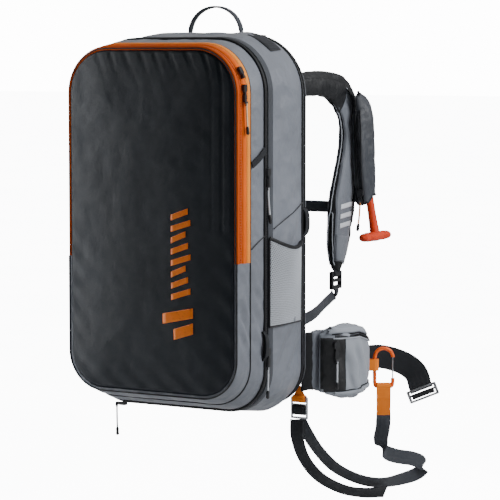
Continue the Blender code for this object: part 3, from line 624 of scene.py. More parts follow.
def build_world():
    """White all round for the camera; for the light on the object, dimmer from the front."""
    world = bpy.data.worlds.new("studio")
    world.use_nodes = True
    tree = world.node_tree
    back = tree.nodes["Background"]
    direction = node(tree, "TexCoord").outputs["Generated"]
    _, y, z = node(tree, "SeparateXYZ", {"Vector": direction}).outputs
    light = node(tree, "MapRange", {"Value": y, "From Min": -0.2, "From Max": 0.5,
                                    "To Min": 0.02, "To Max": 0.45})
    seen = node(tree, "LightPath").outputs["Is Camera Ray"]
    strength = node(tree, "Mix", {0: seen, 2: light.outputs[0], 3: BACKDROP})
    tree.links.new(strength.outputs[0], back.inputs["Strength"])
    back.inputs["Color"].default_value = (1.0, 1.0, 1.0, 1.0)
    bpy.context.scene.world = world


def floor_material():
    """Pale paper floor: a faint grain, and as bright to the camera as the backdrop."""
    made, tree, shader = blank("studio_floor", Roughness=0.9)
    solid = node(tree, "TexCoord").outputs["Object"]
    tone = mix_colours(tree, wander(tree, solid, 3.0), (0.80, 0.81, 0.82, 1.0), (0.84, 0.84, 0.85, 1.0))
    seen = node(tree, "LightPath").outputs["Is Camera Ray"]
    tree.links.new(tone, shader.inputs["Emission Color"])
    tree.links.new(product(tree, seen, BACKDROP), shader.inputs["Emission Strength"])
    grain = node(tree, "TexNoise", {"Vector": solid, "Scale": 400.0})
    bump = node(tree, "Bump", {"Strength": 0.2, "Distance": 0.0004, "Height": grain.outputs["Fac"]})
    wire(tree, shader, tone, bump)
    return made


def build_stage():
    build_camera()
    build_world()
    middle = Vector((0.0, -0.05, 0.0))
    area_light("key_right", (1.3, 0.05, 0.75), middle, 24.0, (0.6, 1.0))
    area_light("strip_left", (-0.37, -0.335, 0.04), middle + Vector((-0.10, -0.14, 0)), 2.2, (0.08, 0.8))
    area_light("top_soft", (0.3, 0.4, 2.2), middle, 13.0, (1.2, 1.2))
    size = 30.0
    ground = cad_bounds[0][2] - 0.004
    floor = mesh_object("floor", [(-size, -size, ground), (size, -size, ground), (size, size, ground),
                                  (-size, size, ground)], [(0, 1, 2, 3)], floor_material())


# ---------------------------------------------------------------- cords

def hanging_cord(name, node_name, start, length, body, material, lean):
    """A zip's cord pull, with its moulded grip, in place of its plain solid."""
    route = [start + Vector((0, 0, -length * s)) + Vector(lean) * s ** 2 for s in (0, 0.25, 0.5, 0.75)]
    points = smooth_points(route, 5)
    cord = tube(name, points, CORD_RADIUS, material)
    place(cord, body, (node_name,) if node_name else ())
    end = points[-1]
    tip = end + (points[-1] - points[-2]).normalized() * length * 0.27
    grip = tube(name + "_grip", [end.lerp(tip, s) for s in (0, 0.15, 0.5, 0.85, 1)],
                [0.0014, 0.0026, 0.0024, 0.0027, 0.0012], LOOK["black"])
    place(grip, body)
    turns = []
    for k in range(25):
        angle = math.tau * k / 24
        turn = Vector((0.0006 * math.cos(3 * angle), math.sin(angle) + 2 * math.sin(2 * angle),
                       math.cos(angle) - 2 * math.cos(2 * angle)))
        turns.append(points[0] + turn * KNOT_SIZE)
    knot = tube(name + "_knot", turns, KNOT_SIZE, LOOK["thread"])
    place(knot, body)


def build_cords():
    leg, line = webbing("leg_webbing", LEG_ROUTE, LEG_ACROSS, LEG_WIDTH, LOOK["web_grey"])
    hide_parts("leg_strap")
    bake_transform(leg)
    held = [(LEG_ROUTE[0][0], LEG_ROUTE[0][1], LEG_ROUTE[0][2] + rise) for rise in (0.009, 0.004, -0.0006)]
    end, _ = webbing("leg_webbing_end", held, [LEG_ACROSS[0]] * 3, LEG_WIDTH * 0.98, LOOK["web_grey"])
    place(end, "wing_right")
    tail, tail_line = webbing("leg_webbing_tail", TAIL_ROUTE, TAIL_ACROSS, LEG_WIDTH, LOOK["web"])
    place(tail, "pack", ("leg_strap_tail",))
    side = section(ZIP_Y)[0] + 0.0052
    front = section(-0.196)[0] + 0.0050
    below = section(ZIP_Y)[1] - 0.0076
    for name, node_name, start, length, body, look, lean in (
            ("upper_pull", "main_pull_upper", (side, ZIP_Y, 0.0640), 0.052, "main_slider_upper", "cord_pale",
             (0.002, 0.004, 0)),
            ("lower_pull", "main_pull_lower", (side, ZIP_Y, -0.1980), 0.046, "main_slider_lower", "cord_pale",
             (-0.001, 0, 0)),
            ("front_pull", None, (front + 0.001, -0.196, 0.1870), 0.044, "front_slider_lower", "cord_cream",
             (0.001, 0.003, 0)),
            ("sleeve_pull", None, (0.1375, 0.1840, 0.0230), 0.044, "sleeve_slider", "cord_orange",
             (-0.003, -0.003, 0)),
            ("hip_pocket_pull", None, (0.1868, 0.0160, -0.2060), 0.042, "hip_pocket_slider", "cord_pale",
             (0, 0, 0)),
            ("under_pull", "bottom_pull", (-0.1100, ZIP_Y, below), 0.046, "bottom_slider", "cord_pale",
             (0.001, 0, 0))):
        hanging_cord(name, node_name, Vector(start), length, body, LOOK[look], lean)


# ---------------------------------------------------------------- the bag's outline

def section(y):
    """Half width, bottom, top and corner radii of the bag at one depth."""
    for front, rear in zip(STATIONS, STATIONS[1:]):
        if y <= rear[0]:
            share = max(0.0, (y - front[0]) / (rear[0] - front[0]))
            return [a + (b - a) * share for a, b in zip(front[1:], rear[1:])]
    return list(STATIONS[-1][1:])


def outline(y, proud=0.0):
    """Points and outward directions round the bag at one depth, from the right side up and round."""
    half, bottom, top, high, low = section(y)
    corners = ((half - high, top - high, high, 0.0), (high - half, top - high, high, 0.5 * math.pi),
               (low - half, bottom + low, low, math.pi), (half - low, bottom + low, low, 1.5 * math.pi))
    spots = []
    for number, (x, z, radius, start) in enumerate(corners):
        for i in range(CORNER_STEPS + 1):
            angle = start + 0.5 * math.pi * i / CORNER_STEPS
            out = Vector((math.cos(angle), 0, math.sin(angle)))
            spots.append((Vector((x, y, z)) + out * (radius + proud), out))
        following = corners[(number + 1) % 4]
        begin, out = spots[-1]
        end = Vector((following[0], y, following[1])) + out * (following[2] + proud)
        for i in range(1, SIDE_STEPS):
            spots.append((begin.lerp(end, i / SIDE_STEPS), out))
    return spots


def part_outline(y, proud, upper):
    """The outline above or below the line where the front flap folds, with its ends on that line."""
    spots = outline(y, proud)
    run = CORNER_STEPS + SIDE_STEPS
    half = section(y)[0] + proud
    right = (Vector((half, y, FLAP_Z)), Vector((1, 0, 0)))
    left = (Vector((-half, y, FLAP_Z)), Vector((-1, 0, 0)))
    begin, finish = (right, left) if upper else (left, right)
    first = 0 if upper else 2 * run
    core = spots[first:first + run + CORNER_STEPS + 1]
    steps = SIDE_STEPS // 2
    lead = [(begin[0].lerp(core[0][0], i / steps), begin[1]) for i in range(steps)]
    tail = [(core[-1][0].lerp(finish[0], i / steps), finish[1]) for i in range(1, steps + 1)]
    return lead + core + tail


def ring(name, profile, material, part=None, inner=SHELL, bulge=None):
    """Wall round the bag: profile is (depth, proud) from front to rear, bulge an extra outward
    push at a point and a share of the depth. part is None, "upper" or "lower"."""
    first, last = profile[0][0], profile[-1][0]
    rows = []
    for y, proud in profile:
        spots = outline(y, proud) if part is None else part_outline(y, proud, part == "upper")
        share = (y - first) / (last - first)
        rows.append([p + out * (bulge(p, share) if bulge else 0.0) for p, out in spots])
    for y in (last, first):
        spots = outline(y, -inner) if part is None else part_outline(y, -inner, part == "upper")
        rows.append([p for p, _ in spots])
    return grid(name, rows, material, wrap=part is None, loop=True, ends=part is not None)


def piping(name, y, proud, radius, material, part=None):
    """Round cord sewn in round the bag."""
    spots = outline(y, proud) if part is None else part_outline(y, proud, part == "upper")
    return tube(name, [p for p, _ in spots], radius, material, cyclic=part is None)


def track(y, proud, part=None):
    """Line round the bag at one depth, with its outward normals."""
    spots = outline(y, proud) if part is None else part_outline(y, proud, part == "upper")
    if part is None:
        spots = [*spots, spots[0]]
    return [p for p, _ in spots], [out for _, out in spots]


def side_point(y, z, proud, side=1):
    """Point on the bag's side wall, proud of it."""
    return Vector(((section(y)[0] + proud) * side, y, z))


# ---------------------------------------------------------------- the front panel

def edge_distance(x, z, inset=PANEL_INSET):
    """How far a point of the front panel lies inside the panel's edge."""
    half, bottom, top, high, low = section(FRONT_Y)
    radius = high if z > 0 else low
    over_x = abs(x) - (half - radius)
    over_z = z - (top - radius) if z > 0 else (bottom + radius) - z
    if over_x > 0 and over_z > 0:
        reach = math.hypot(over_x, over_z)
    else:
        reach = max(over_x, over_z)
    return radius - inset - reach


def panel_depth(x, z):
    """Depth of the front panel's surface: a soft crown, a rolled edge and puckers at the top seam."""
    roll = 0.005
    inside = max(0.0, edge_distance(x, z))
    y = FRONT_Y + 0.0015
    if inside < roll:
        y += roll - math.sqrt(roll ** 2 - (roll - inside) ** 2)
    y -= CROWN * math.sin(0.5 * math.pi * min(1.0, inside / 0.12)) ** 0.9
    near = math.exp(-inside / 0.020) * min(1.0, inside / 0.005)
    if z > 0:
        pull = math.sin((x - 0.5 * inside) / 0.0042 + 2.0 * rumple(Vector((x, 0, 0)), 0.06, 3.0))
        y += 0.0013 * near * max(0.0, pull)
    else:
        y += 0.0010 * near * math.sin((x + z) / 0.0065)
    y += 0.0007 * rumple(Vector((x, 0, z)), 0.05, 7.0) * min(1.0, inside / 0.02)
    y += 0.0004 * rumple(Vector((x, 0, z)), 0.018, 9.0) * min(1.0, inside / 0.02)
    return y


def build_front_panel():
    half, bottom, top, high, low = section(FRONT_Y)
    half, bottom, top = half - PANEL_INSET, bottom + PANEL_INSET, top - PANEL_INSET
    high, low = high - PANEL_INSET, low - PANEL_INSET
    rows_count, columns = 190, 150
    rows = []
    for i in range(rows_count + 1):
        share = 0.5 - 0.5 * math.cos(math.pi * i / rows_count)
        z = bottom + (top - bottom) * (0.35 * i / rows_count + 0.65 * share)
        limit = half
        if z > top - high:
            limit = half - high + math.sqrt(max(0.0, high ** 2 - (z - top + high) ** 2))
        elif z < bottom + low:
            limit = half - low + math.sqrt(max(0.0, low ** 2 - (bottom + low - z) ** 2))
        row = []
        for j in range(columns + 1):
            across = -math.cos(math.pi * j / columns)
            x = limit * (0.4 * (2 * j / columns - 1) + 0.6 * across)
            row.append(Vector((x, panel_depth(x, z), z)))
        rows.append(row)
    panel = grid("front_panel", rows, LOOK["front"])
    thicken(panel, 0.002, 1.0 if panel.data.polygons[0].normal.y > 0 else -1.0)
    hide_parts("front_flap")
    fold_panel(panel)
    build_print()


def fold_panel(piece):
    """Bake a piece's transform into its mesh."""
    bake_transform(piece)


def printed(name, corners):
    """Flat printed shape on the front panel, from its corners as (x, z)."""
    bm = bmesh.new()
    bm.faces.new([bm.verts.new((x, 0.0, z)) for x, z in corners])
    bmesh.ops.subdivide_edges(bm, edges=bm.edges[:], cuts=7, use_grid_fill=True)
    for vertex in bm.verts:
        vertex.co.y = panel_depth(vertex.co.x, vertex.co.z) - 0.0005
    mesh = bpy.data.meshes.new(name)
    bm.to_mesh(mesh)
    bm.free()
    mesh.shade_smooth()
    piece = thicken(link_object(name, mesh, LOOK["print"]), 0.0003)
    fold_panel(piece)


def build_print():
    """A plain pattern of slanted bars up the panel's right half, over two stepped blocks."""
    left, right = 0.040, 0.072
    pitch, height, slant = 0.0165, 0.0085, 0.010
    for number in range(8):
        z = -0.098 + pitch * number
        reach = right - 0.004 * (number % 3)
        printed(f"print_bar_{number}", ((left, z), (reach, z + slant), (reach, z + slant + height),
                                        (left, z + height)))
    for number, (low, high, start) in enumerate(((-0.1330, -0.1180, 0.026), (-0.1560, -0.1400, 0.044))):
        printed(f"print_block_{number}", ((start, low), (0.076, low + slant), (0.076, high + slant),
                                          (start, high)))


# ---------------------------------------------------------------- the bag's walls

def stepped(first, last, count, crown):
    """Profile from one depth to another with an even crown."""
    return [(first + (last - first) * i / count, crown * math.sin(math.pi * i / count))
            for i in range(count + 1)]


def gusset_folds(p, share):
    """Folds in the front gusset: a few slanted creases low on the sides, small ripples elsewhere."""
    mask = math.sin(math.pi * share)
    low = math.exp(-((p.z + 0.13) / 0.055) ** 2)
    crease = math.sin((p.z + 1.3 * (p.y + 0.16)) / 0.0062 + 2.5 * rumple(p, 0.05, 11.0))
    return mask * (0.0028 * low * crease + 0.0020 * rumple(p, 0.035, 1.0) + 0.0008 * rumple(p, 0.014, 2.0))


def rear_folds(p, share):
    """Soft folds of the rear wall, and creases at two heights."""
    mask = math.sin(math.pi * share) ** 0.7
    below = 0.5 + 0.5 / (1.0 + math.exp(p.z / 0.03))
    creased = math.exp(-((p.z + 0.195) / 0.045) ** 2) + 0.5 * math.exp(-((p.z - 0.015) / 0.05) ** 2)
    crease = math.sin((0.8 * p.z - 0.9 * p.y) / 0.0075 + 3.0 * rumple(p, 0.06, 12.0))
    soft = 0.0042 * below * rumple(p, 0.070, 5.0) + 0.0020 * rumple(p, 0.030, 6.0)
    return mask * (soft + 0.0020 * creased * crease)


def build_front_wall():
    """Front zip's band above the fold, the lower panel's wall below it."""
    start = BAND_START - 0.001
    for name, look, stands_for, steps in (
            ("front_band_edge", "orange_deep", ("front_zip_band",),
             ((0, -0.003), (0, 0.0), (0.001, 0.0014), (0.003, 0.0019), (0.005, 0.0012), (0.006, -0.0002),
              (0.0125, -0.0002))),
            ("front_band_flap", "orange_mid", (),
             ((0.0125, -0.0003), (0.0132, 0.0012), (0.015, 0.0020), (0.0205, 0.0020), (0.0220, 0.0012),
              (0.0225, -0.0002))),
            ("front_band_tape", "orange_pale", (),
             ((0.0225, -0.0003), (0.0230, 0.0012), (0.0250, 0.0022), (0.0310, 0.0021), (0.0325, 0.0010),
              (0.0327, -0.0005)))):
        piece = ring(name, [(start + step, proud) for step, proud in steps], LOOK[look], "upper")
        place(piece, "front_flap", stands_for)
    dotted("front_zip_teeth", track(start + 0.0092, 0.0004, "upper"), TOOTH_PITCH, (0.0011, 0.0046, 0.0012),
           "teeth_orange", "front_flap", "block")
    for number, depth in enumerate((start + 0.0148, start + 0.0242)):
        dotted(f"front_band_stitches_{number}", track(depth, 0.0021, "upper"), STITCH_PITCH, STITCH,
               "orange_mid", "front_flap")
    lower = ring("lower_wall", [(start, -0.003), *stepped(start, GUSSET_Y - 0.0003, 8, 0.0018)],
                 LOOK["side"], "lower", bulge=gusset_folds)
    place(lower, "front_section", ("lower_front_panel",))
    edge = piping("panel_piping", BAND_START - 0.0015, 0.0003, 0.0011, LOOK["piping"], "lower")
    place(edge, "front_section")
    edge_top = piping("panel_piping_upper", BAND_START - 0.0022, -0.0012, 0.0008, LOOK["piping"], "upper")
    place(edge_top, "front_flap")


def build_gussets():
    """Front gusset, main zip, rain flap, rear wall, liner and piping."""
    front = ring("front_gusset_cloth", stepped(GUSSET_Y + 0.0004, ZIP_Y - 0.0036, 12, 0.0022), LOOK["side"],
                 bulge=gusset_folds)
    place(front, "front_section", ("front_gusset",))
    seam = piping("gusset_seam", GUSSET_Y + 0.0002, 0.0004, 0.0012, LOOK["piping"])
    place(seam, "front_section")
    cord_edge = piping("zip_piping", ZIP_Y - 0.0034, 0.0016, 0.0021, LOOK["piping"])
    place(cord_edge, "front_section")
    tape = ring("main_zip_tape", [(ZIP_Y - 0.0030, 0.0), (ZIP_Y - 0.0026, 0.0008), (ZIP_Y + 0.0044, 0.0008),
                                  (ZIP_Y + 0.0048, 0.0)], LOOK["web"], inner=0.003)
    place(tape, "front_section", ("main_zip",))
    dotted("main_zip_teeth", track(ZIP_Y + 0.0008, 0.0014), 0.0024, (0.0012, 0.0042, 0.0013), "teeth",
           "front_section", "block")
    flap_end = ZIP_Y + 0.0195
    cover = ring("rain_flap", [(ZIP_Y + 0.0056, -0.001), (ZIP_Y + 0.0058, 0.0018), (ZIP_Y + 0.0075, 0.0026),
                               (ZIP_Y + 0.0120, 0.0026), (flap_end - 0.0015, 0.0022), (flap_end, 0.0002)],
                 LOOK["band"], inner=0.002)
    place(cover, "pack")
    for number, depth in enumerate((ZIP_Y + 0.0085, flap_end - 0.0022)):
        dotted(f"rain_flap_stitches_{number}", track(depth, 0.0027 if number == 0 else 0.0023), STITCH_PITCH,
               STITCH, "thread", "pack")
    rear = ring("rear_gusset_cloth", stepped(flap_end, -0.0270, 26, 0.0030), LOOK["side"], bulge=rear_folds)
    place(rear, "pack", ("rear_ring",))
    inner = ring("liner", [(ZIP_Y + 0.0056, -0.0021), (-0.060, -0.0021), (-0.0150, -0.0021)], LOOK["liner"],
                 inner=0.0038)
    place(inner, "pack")
    for number, depth in enumerate((-0.0268, -0.0190)):
        edge = piping(f"rear_piping_{number}", depth, 0.0010, 0.0017, LOOK["piping"])
        place(edge, "pack")
    between = ring("rear_piping_tape", stepped(-0.0262, -0.0196, 3, 0.0008), LOOK["side"], inner=0.003)
    place(between, "pack")
    back_rim = ring("rear_rim", [(-0.0186, 0.0), (-0.0165, 0.0012), (-0.0135, 0.0010), (-0.0112, -0.0010),
                                 (-0.0100, -0.0045)], LOOK["side"], inner=0.006)
    place(back_rim, "pack")


def on_wall(name, spots, radius, material, body, side=1):
    """Seam line on the bag's side wall through spots given as (depth, height)."""
    points = [side_point(y, z, 0.0024, side) for y, z in spots]
    return place(tube(name, smooth_points(points, 6), radius, material), body)


def build_side_details():
    """Slanted seam, compression strap and gear loops on the side walls."""
    for side, word in SIDES:
        on_wall(f"slant_seam_{word}", ((-0.0285, 0.0365), (-0.060, 0.024), (-0.117, 0.003)), 0.0009,
                LOOK["thread"], "pack", side)
        on_wall(f"slant_seam_front_{word}", ((-0.1425, -0.006), (-0.160, -0.014), (-0.1765, -0.023)), 0.0009,
                LOOK["thread"], "front_section", side)
        spots = ((-0.1775, 0.098, 0.0035), (-0.160, 0.108, 0.0048), (-0.1425, 0.119, 0.0035))
        diagonal = [side_point(*spot, side) for spot in spots]
        strap, _ = webbing(f"side_strap_{word}", diagonal, [(0, -0.45, 0.9)] * 3, 0.010, LOOK["web"], 0.0016)
        place(strap, "front_section")
        spots = ((-0.145, 0.0015), (-0.152, 0.0070), (-0.166, 0.0085), (-0.180, 0.0070), (-0.188, 0.0015))
        loop = [side_point(-0.1460, z, proud, side) for z, proud in spots]
        gear, _ = webbing(f"gear_loop_{word}", loop, [(0, 1, 0)] * 5, 0.0085, LOOK["web"], 0.0018)
        place(gear, "front_section")


def pocket_point(share, height, lift=0.0):
    """Point of the stretch pocket: share runs from its front edge to its rear one, height from its
    bottom to its top edge."""
    front_edge, rear_edge, bottom, top = -0.131, -0.036, -0.140, -0.022
    rise = 0.012 * (1 - share)
    dip = 0.010 * math.sin(math.pi * share)
    swell = math.sin(math.pi * min(1.0, max(0.0, share))) ** 0.8
    stand = 0.0015 + 0.013 * swell * (0.25 + 0.75 * height)
    side = section(-0.080)[0]
    return Vector((side + stand + lift, front_edge + (rear_edge - front_edge) * share,
                   bottom + (top + rise - dip - bottom) * height))


def build_side_pocket():
    """Hexagonal net with a round elastic along the top and piping at the edges."""
    wide, tall = 0.095, 0.118
    cell = 0.0030
    points = []
    faces = []
    row_step = cell * 0.866
    for row in range(int(tall / row_step)):
        for column in range(int(wide / cell)):
            across = (column + 0.5 * (row % 2) + 0.5) * cell / wide
            up = (row + 0.5) * row_step / tall
            first = len(points)
            for scale in (1.0, 0.66):
                for k in range(6):
                    angle = math.pi / 6 + math.pi * k / 3
                    reach = cell / math.sqrt(3) * scale
                    share = across + reach * math.cos(angle) / wide
                    height = up + reach * math.sin(angle) / tall
                    points.append(pocket_point(min(1.0, max(0.0, share)), min(1.0, max(0.0, height)), 0.0006))
            for k in range(6):
                m = (k + 1) % 6
                faces.append((first + k, first + m, first + 6 + m, first + 6 + k))
    net = mesh_object("pocket_net", points, faces, LOOK["net"])
    place(thicken(net, 0.0006, 0.0), "pack", ("side_mesh_pocket",))
    top = [pocket_point(i / 16, 1.0, 0.0004) for i in range(17)]
    place(tube("pocket_elastic", smooth_points(top, 2), 0.0027, LOOK["piping"]), "pack")
    for name, line in (("pocket_front_edge", [pocket_point(0.0, i / 8, 0.0004) for i in range(9)]),
                       ("pocket_rear_edge", [pocket_point(1.0, i / 8, 0.0004) for i in range(9)]),
                       ("pocket_bottom_edge", [pocket_point(i / 12, 0.0, 0.0004) for i in range(13)])):
        place(tube(name, smooth_points(line, 2), 0.0014, LOOK["thread"]), "pack")


def build_air_inlet():
    """Dark mesh window with a stitched rim, high on the rear shoulder of the bag."""
    spots_at = [outline(y, 0.0030) for y in (-0.086, -0.080, -0.074, -0.068, -0.062, -0.056)]
    first, last = CORNER_STEPS // 2, CORNER_STEPS - 2
    rows = [[spots[i][0] for i in range(first, last)] for spots in spots_at]
    patch = grid("air_inlet_knit", rows, LOOK["back_mesh"])
    place(thicken(patch, 0.0012), "pack", ("air_inlet_mesh",))
    rim = [*rows[0], *[row[-1] for row in rows[1:]], *rows[-1][::-1][1:],
           *[row[0] for row in rows[::-1][1:-1]]]
    place(tube("air_inlet_rim", rim, 0.0012, LOOK["thread"], cyclic=True), "pack")


def build_haul_loop():
    """Webbing loop on its sewn band, with two bar tacks."""
    centre_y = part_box("haul_loop")[0][1] * 0.5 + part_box("haul_loop")[1][1] * 0.5
    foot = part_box("haul_loop")[0][2]
    span, rise = 0.045, 0.041
    arch = []
    widths = []
    for i in range(33):
        angle = math.pi * i / 32
        arch.append(Vector((-0.003 + span * math.cos(angle), centre_y, foot + rise * math.sin(angle))))
        widths.append(min(0.0062, 0.0032 + 0.5 * rise * math.sin(angle)))
    rows = []
    for i, (point, half) in enumerate(zip(arch, widths)):
        along = (arch[min(i + 1, 32)] - arch[max(i - 1, 0)]).normalized()
        out = along.cross(Vector((0, 1, 0))).normalized()
        rows.append([point + Vector((0, half * u, 0)) + out * 0.0016 * v for u, v in band_section(0.3, 0.8)])
    loop = grid("haul_loop_webbing", rows, LOOK["web_grey"], wrap=True, caps=True)
    place(loop, "haul_loop", ("haul_loop",))
    low, high = (Vector(c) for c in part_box("haul_band"))
    line = []
    for i in range(21):
        x = low.x + (high.x - low.x) * i / 20
        drop = 0.0002 + 0.0006 * max(0.0, (abs(x) - 0.055) / 0.005) ** 1.2
        line.append(Vector((x, (low.y + high.y) / 2, high.z - 0.0008 - drop * 0.5)))
    strip, _ = webbing("haul_band_webbing", line, [(0, 1, 0)] * 21, high.y - low.y, LOOK["web"], 0.0026, 1)
    place(strip, "pack", ("haul_band",))
    for number, x in enumerate((-0.048, 0.042)):
        bar = [(Vector((x + 0.004 * k, low.y + 0.003 + 0.0015 * j, high.z + 0.0006)), Vector((0, 1, 0)), UP)
               for k in range(3) for j in range(9)]
        place(scatter(f"haul_bartack_{number}", bar, (0.0016, 0.0006, 0.0005), LOOK["thread_pale"]), "pack")


# ---------------------------------------------------------------- padded pieces

def puffed(name, node_name, material, body, shrink=0.0008, voxel=0.004, cap=0.004, pressure=4.0):
    """Padded piece: a CAD solid's copy, remeshed and blown up by a short cloth simulation."""
    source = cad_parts[node_name]
    mesh = source.data.copy()
    mesh.materials.clear()
    piece = link_object(name, mesh, material)
    for vertex in mesh.vertices:
        vertex.co -= vertex.normal * shrink
    remesh = piece.modifiers.new("remesh", "REMESH")
    remesh.mode = "VOXEL"
    remesh.voxel_size = voxel
    remesh.use_smooth_shade = True
    bake(piece)
    soften = piece.modifiers.new("soften", "SMOOTH")
    soften.factor = 0.5
    soften.iterations = 4
    bake(piece)
    swell(piece, pressure, cap)
    finer = piece.modifiers.new("finer", "SUBSURF")
    finer.levels = finer.render_levels = 1
    bake(piece)
    piece.data.materials.clear()
    piece.data.materials.append(material)
    place(piece, body, (node_name,))
    return piece


def swell(piece, pressure, cap):
    """Blow a closed mesh up with the cloth simulation, and hold every point near where it was."""
    rest = [v.co.copy() for v in piece.data.vertices]
    cloth = piece.modifiers.new("cloth", "CLOTH")
    cloth.settings.use_pressure = True
    cloth.settings.uniform_pressure_force = pressure
    cloth.settings.quality = 5
    cloth.settings.effector_weights.gravity = 0.0
    cloth.settings.shrink_min = -0.04
    cloth.point_cache.frame_start = 1
    cloth.point_cache.frame_end = 20
    scene = bpy.context.scene
    for number in range(1, 21):
        scene.frame_set(number)
    bake(piece)
    for vertex, was in zip(piece.data.vertices, rest):
        moved = vertex.co - was
        if moved.length > cap:
            vertex.co = was + moved.normalized() * cap
    scene.frame_set(1)


def pad_line(across, first=0.0, last=1.0, steps=40, side=1):
    """Line along a shoulder pad at one share of its width, between two shares of its length."""
    inner = smooth_points([e[0] for e in PAD_EDGES], 8)
    outer = smooth_points([e[1] for e in PAD_EDGES], 8)
    points = []
    for i in range(steps + 1):
        at = (first + (last - first) * i / steps) * (len(inner) - 1)
        low = min(int(at), len(inner) - 2)
        a = inner[low].lerp(inner[low + 1], at - low)
        b = outer[low].lerp(outer[low + 1], at - low)
        point = a.lerp(b, across)
        points.append(Vector((point.x * side, point.y, point.z)))
    return points


def laid_strip(name, tree, rows, towards, lift, thickness, material):
    """Thin strip of cloth laid on a padded piece."""
    laid = [drape(row, tree, towards, lift)[0] for row in rows]
    return thicken(grid(name, laid, material), thickness, 0.0)


def crease_along_x(piece, depth, size, seed):
    """Push a cover's points in and out sideways by smooth noise."""
    for vertex in piece.data.vertices:
        vertex.co.x -= depth * rumple(vertex.co, size, seed)


def build_shoulder_pad(side, word):
    pad = puffed(f"shoulder_pad_{word}_foam", f"shoulder_pad_{word}", LOOK["pad_dark"], "pack",
                 cap=0.0035)
    tree = tree_of(pad)
    for face in (1, -1):
        towards = Vector((-face, 0, 0))
        label = f"{word}_{'outer' if face == side else 'inner'}"
        shares = [0.10 + 0.62 * i / 8 for i in range(9)]
        rows = [pad_line(s, 0.10, 0.96, 70, side) for s in shares]
        strip = laid_strip(f"pad_panel_{label}", tree, rows, towards, 0.0009, 0.0010, LOOK["pad_face"])
        place(strip, "pack")
        rows = [pad_line(0.72 + 0.24 * i / 8, 0.03, 0.97, 80, side) for i in range(9)]
        cover = laid_strip(f"pad_cover_{label}", tree, rows, towards, 0.0012, 0.0010, LOOK["sleeve_dark"])
        crease_along_x(cover, towards.x * 0.0012, 0.014, 15.0)
        place(cover, "pack")
        rows = [pad_line(0.07 + 0.66 * i / 8, 0.03, 0.36 - 0.06 * i / 8, 36, side) for i in range(9)]
        top = laid_strip(f"pad_top_{label}", tree, rows, towards, 0.0018, 0.0010, LOOK["sleeve_dark"])
        crease_along_x(top, towards.x * 0.0014, 0.012, 16.0)
        place(top, "pack")
        for number, (share, first, last) in enumerate(((0.06, 0.30, 0.98), (0.72, 0.28, 0.97))):
            line, _ = drape(pad_line(share, first, last, 80, side), tree, towards, 0.0010)
            edge = tube(f"pad_edge_{label}_{number}", line, 0.0008, LOOK["thread_pale"])
            place(edge, "pack")
        for number, share in enumerate((0.13, 0.69)):
            line = drape(pad_line(share, 0.11, 0.95, 120, side), tree, towards, 0.0017)
            dotted(f"pad_stitches_{label}_{number}", line, PAD_STITCH_PITCH, STITCH, "thread", "pack")
    return tree


def build_reflective_patch(tree):
    """Three slanted reflective bars with a paler cloth below them, on the right pad's outer face."""
    towards = Vector((-1, 0, 0))
    rows = [pad_line(0.14 + 0.60 * i / 8, 0.850, 0.955, 24) for i in range(9)]
    pale = laid_strip("pad_pale_patch", tree, rows, towards, 0.0019, 0.0008, LOOK["pad_pale"])
    place(pale, "pack")
    for number in range(3):
        rows = []
        for i in range(9):
            begin = 0.742 + 0.034 * number - 0.016 * i / 8
            rows.append(pad_line(0.22 + 0.50 * i / 8, begin, begin + 0.017, 4))
        bar = laid_strip(f"reflective_bar_{number}", tree, rows, towards, 0.0022, 0.0006, LOOK["reflective"])
        place(bar, "pack")


def build_pads():
    trees = {}
    for side, word in SIDES:
        trees[word] = build_shoulder_pad(side, word)
    build_reflective_patch(trees["right"])
    back = puffed("back_pad_foam", "back_pad", LOOK["back_mesh"], "pack", cap=0.0020, voxel=0.005)
    lumbar = puffed("lumbar_pad_foam", "lumbar_pad", LOOK["back_mesh"], "pack", cap=0.0020,
                    voxel=0.005)
    for pad, name in ((back, "back"), (lumbar, "lumbar")):
        tree = tree_of(pad)
        low, high = (Vector(c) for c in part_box(f"{name}_pad"))
        count = 5 if name == "back" else 3
        for number in range(count):
            z = low.z + (high.z - low.z) * (number + 1) / (count + 1)
            line = [Vector((low.x + 0.006 + (high.x - low.x - 0.012) * i / 24, 0.02, z)) for i in range(25)]
            spots, _ = drape(line, tree, (0, -1, 0), 0.0002)
            place(tube(f"{name}_channel_{number}", spots, 0.0010, LOOK["thread"]), "pack")
    build_back_face()


def build_back_face():
    """Cloth over the frame sheet, inside the rear rim."""
    rows = []
    for inset in (0.0035, 0.020, 0.040, 0.058):
        rows.append([p + Vector((0, 0.0004 - 0.012 * inset, 0)) for p, _ in outline(-0.0092, -inset)])
    cloth = grid("back_cloth", rows, LOOK["pad_face"], wrap=True, caps=True)
    place(cloth, "pack", ("frame_sheet",))


def build_fins():
    for side, word in SIDES:
        fin = puffed(f"hip_fin_{word}_foam", f"hip_fin_{word}", LOOK["pad_face"], f"wing_{word}",
                     cap=0.003)
        tree = tree_of(fin)
        low, high = (Vector(c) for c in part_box(f"hip_fin_{word}"))
        for number, share in enumerate((0.16, 0.84)):
            begin = low.z + (high.z - low.z) * share
            slope = 0.005 if share < 0.5 else -0.004
            line = [Vector((0.16 * side, 0.012 + 0.094 * i / 20, begin + slope * i / 20)) for i in range(21)]
            dotted(f"fin_stitches_{word}_{number}", drape(line, tree, (-side, 0, 0), 0.0006),
                   PAD_STITCH_PITCH, STITCH, "thread", f"wing_{word}")


def pocket_line(start, length, z, steps):
    """Level line outside the hip pocket that dips over its rear half."""
    half = steps / 2
    return [Vector((0.23, start + length * i / steps, z - 0.012 * max(0.0, (i - half) / half)))
            for i in range(steps + 1)]


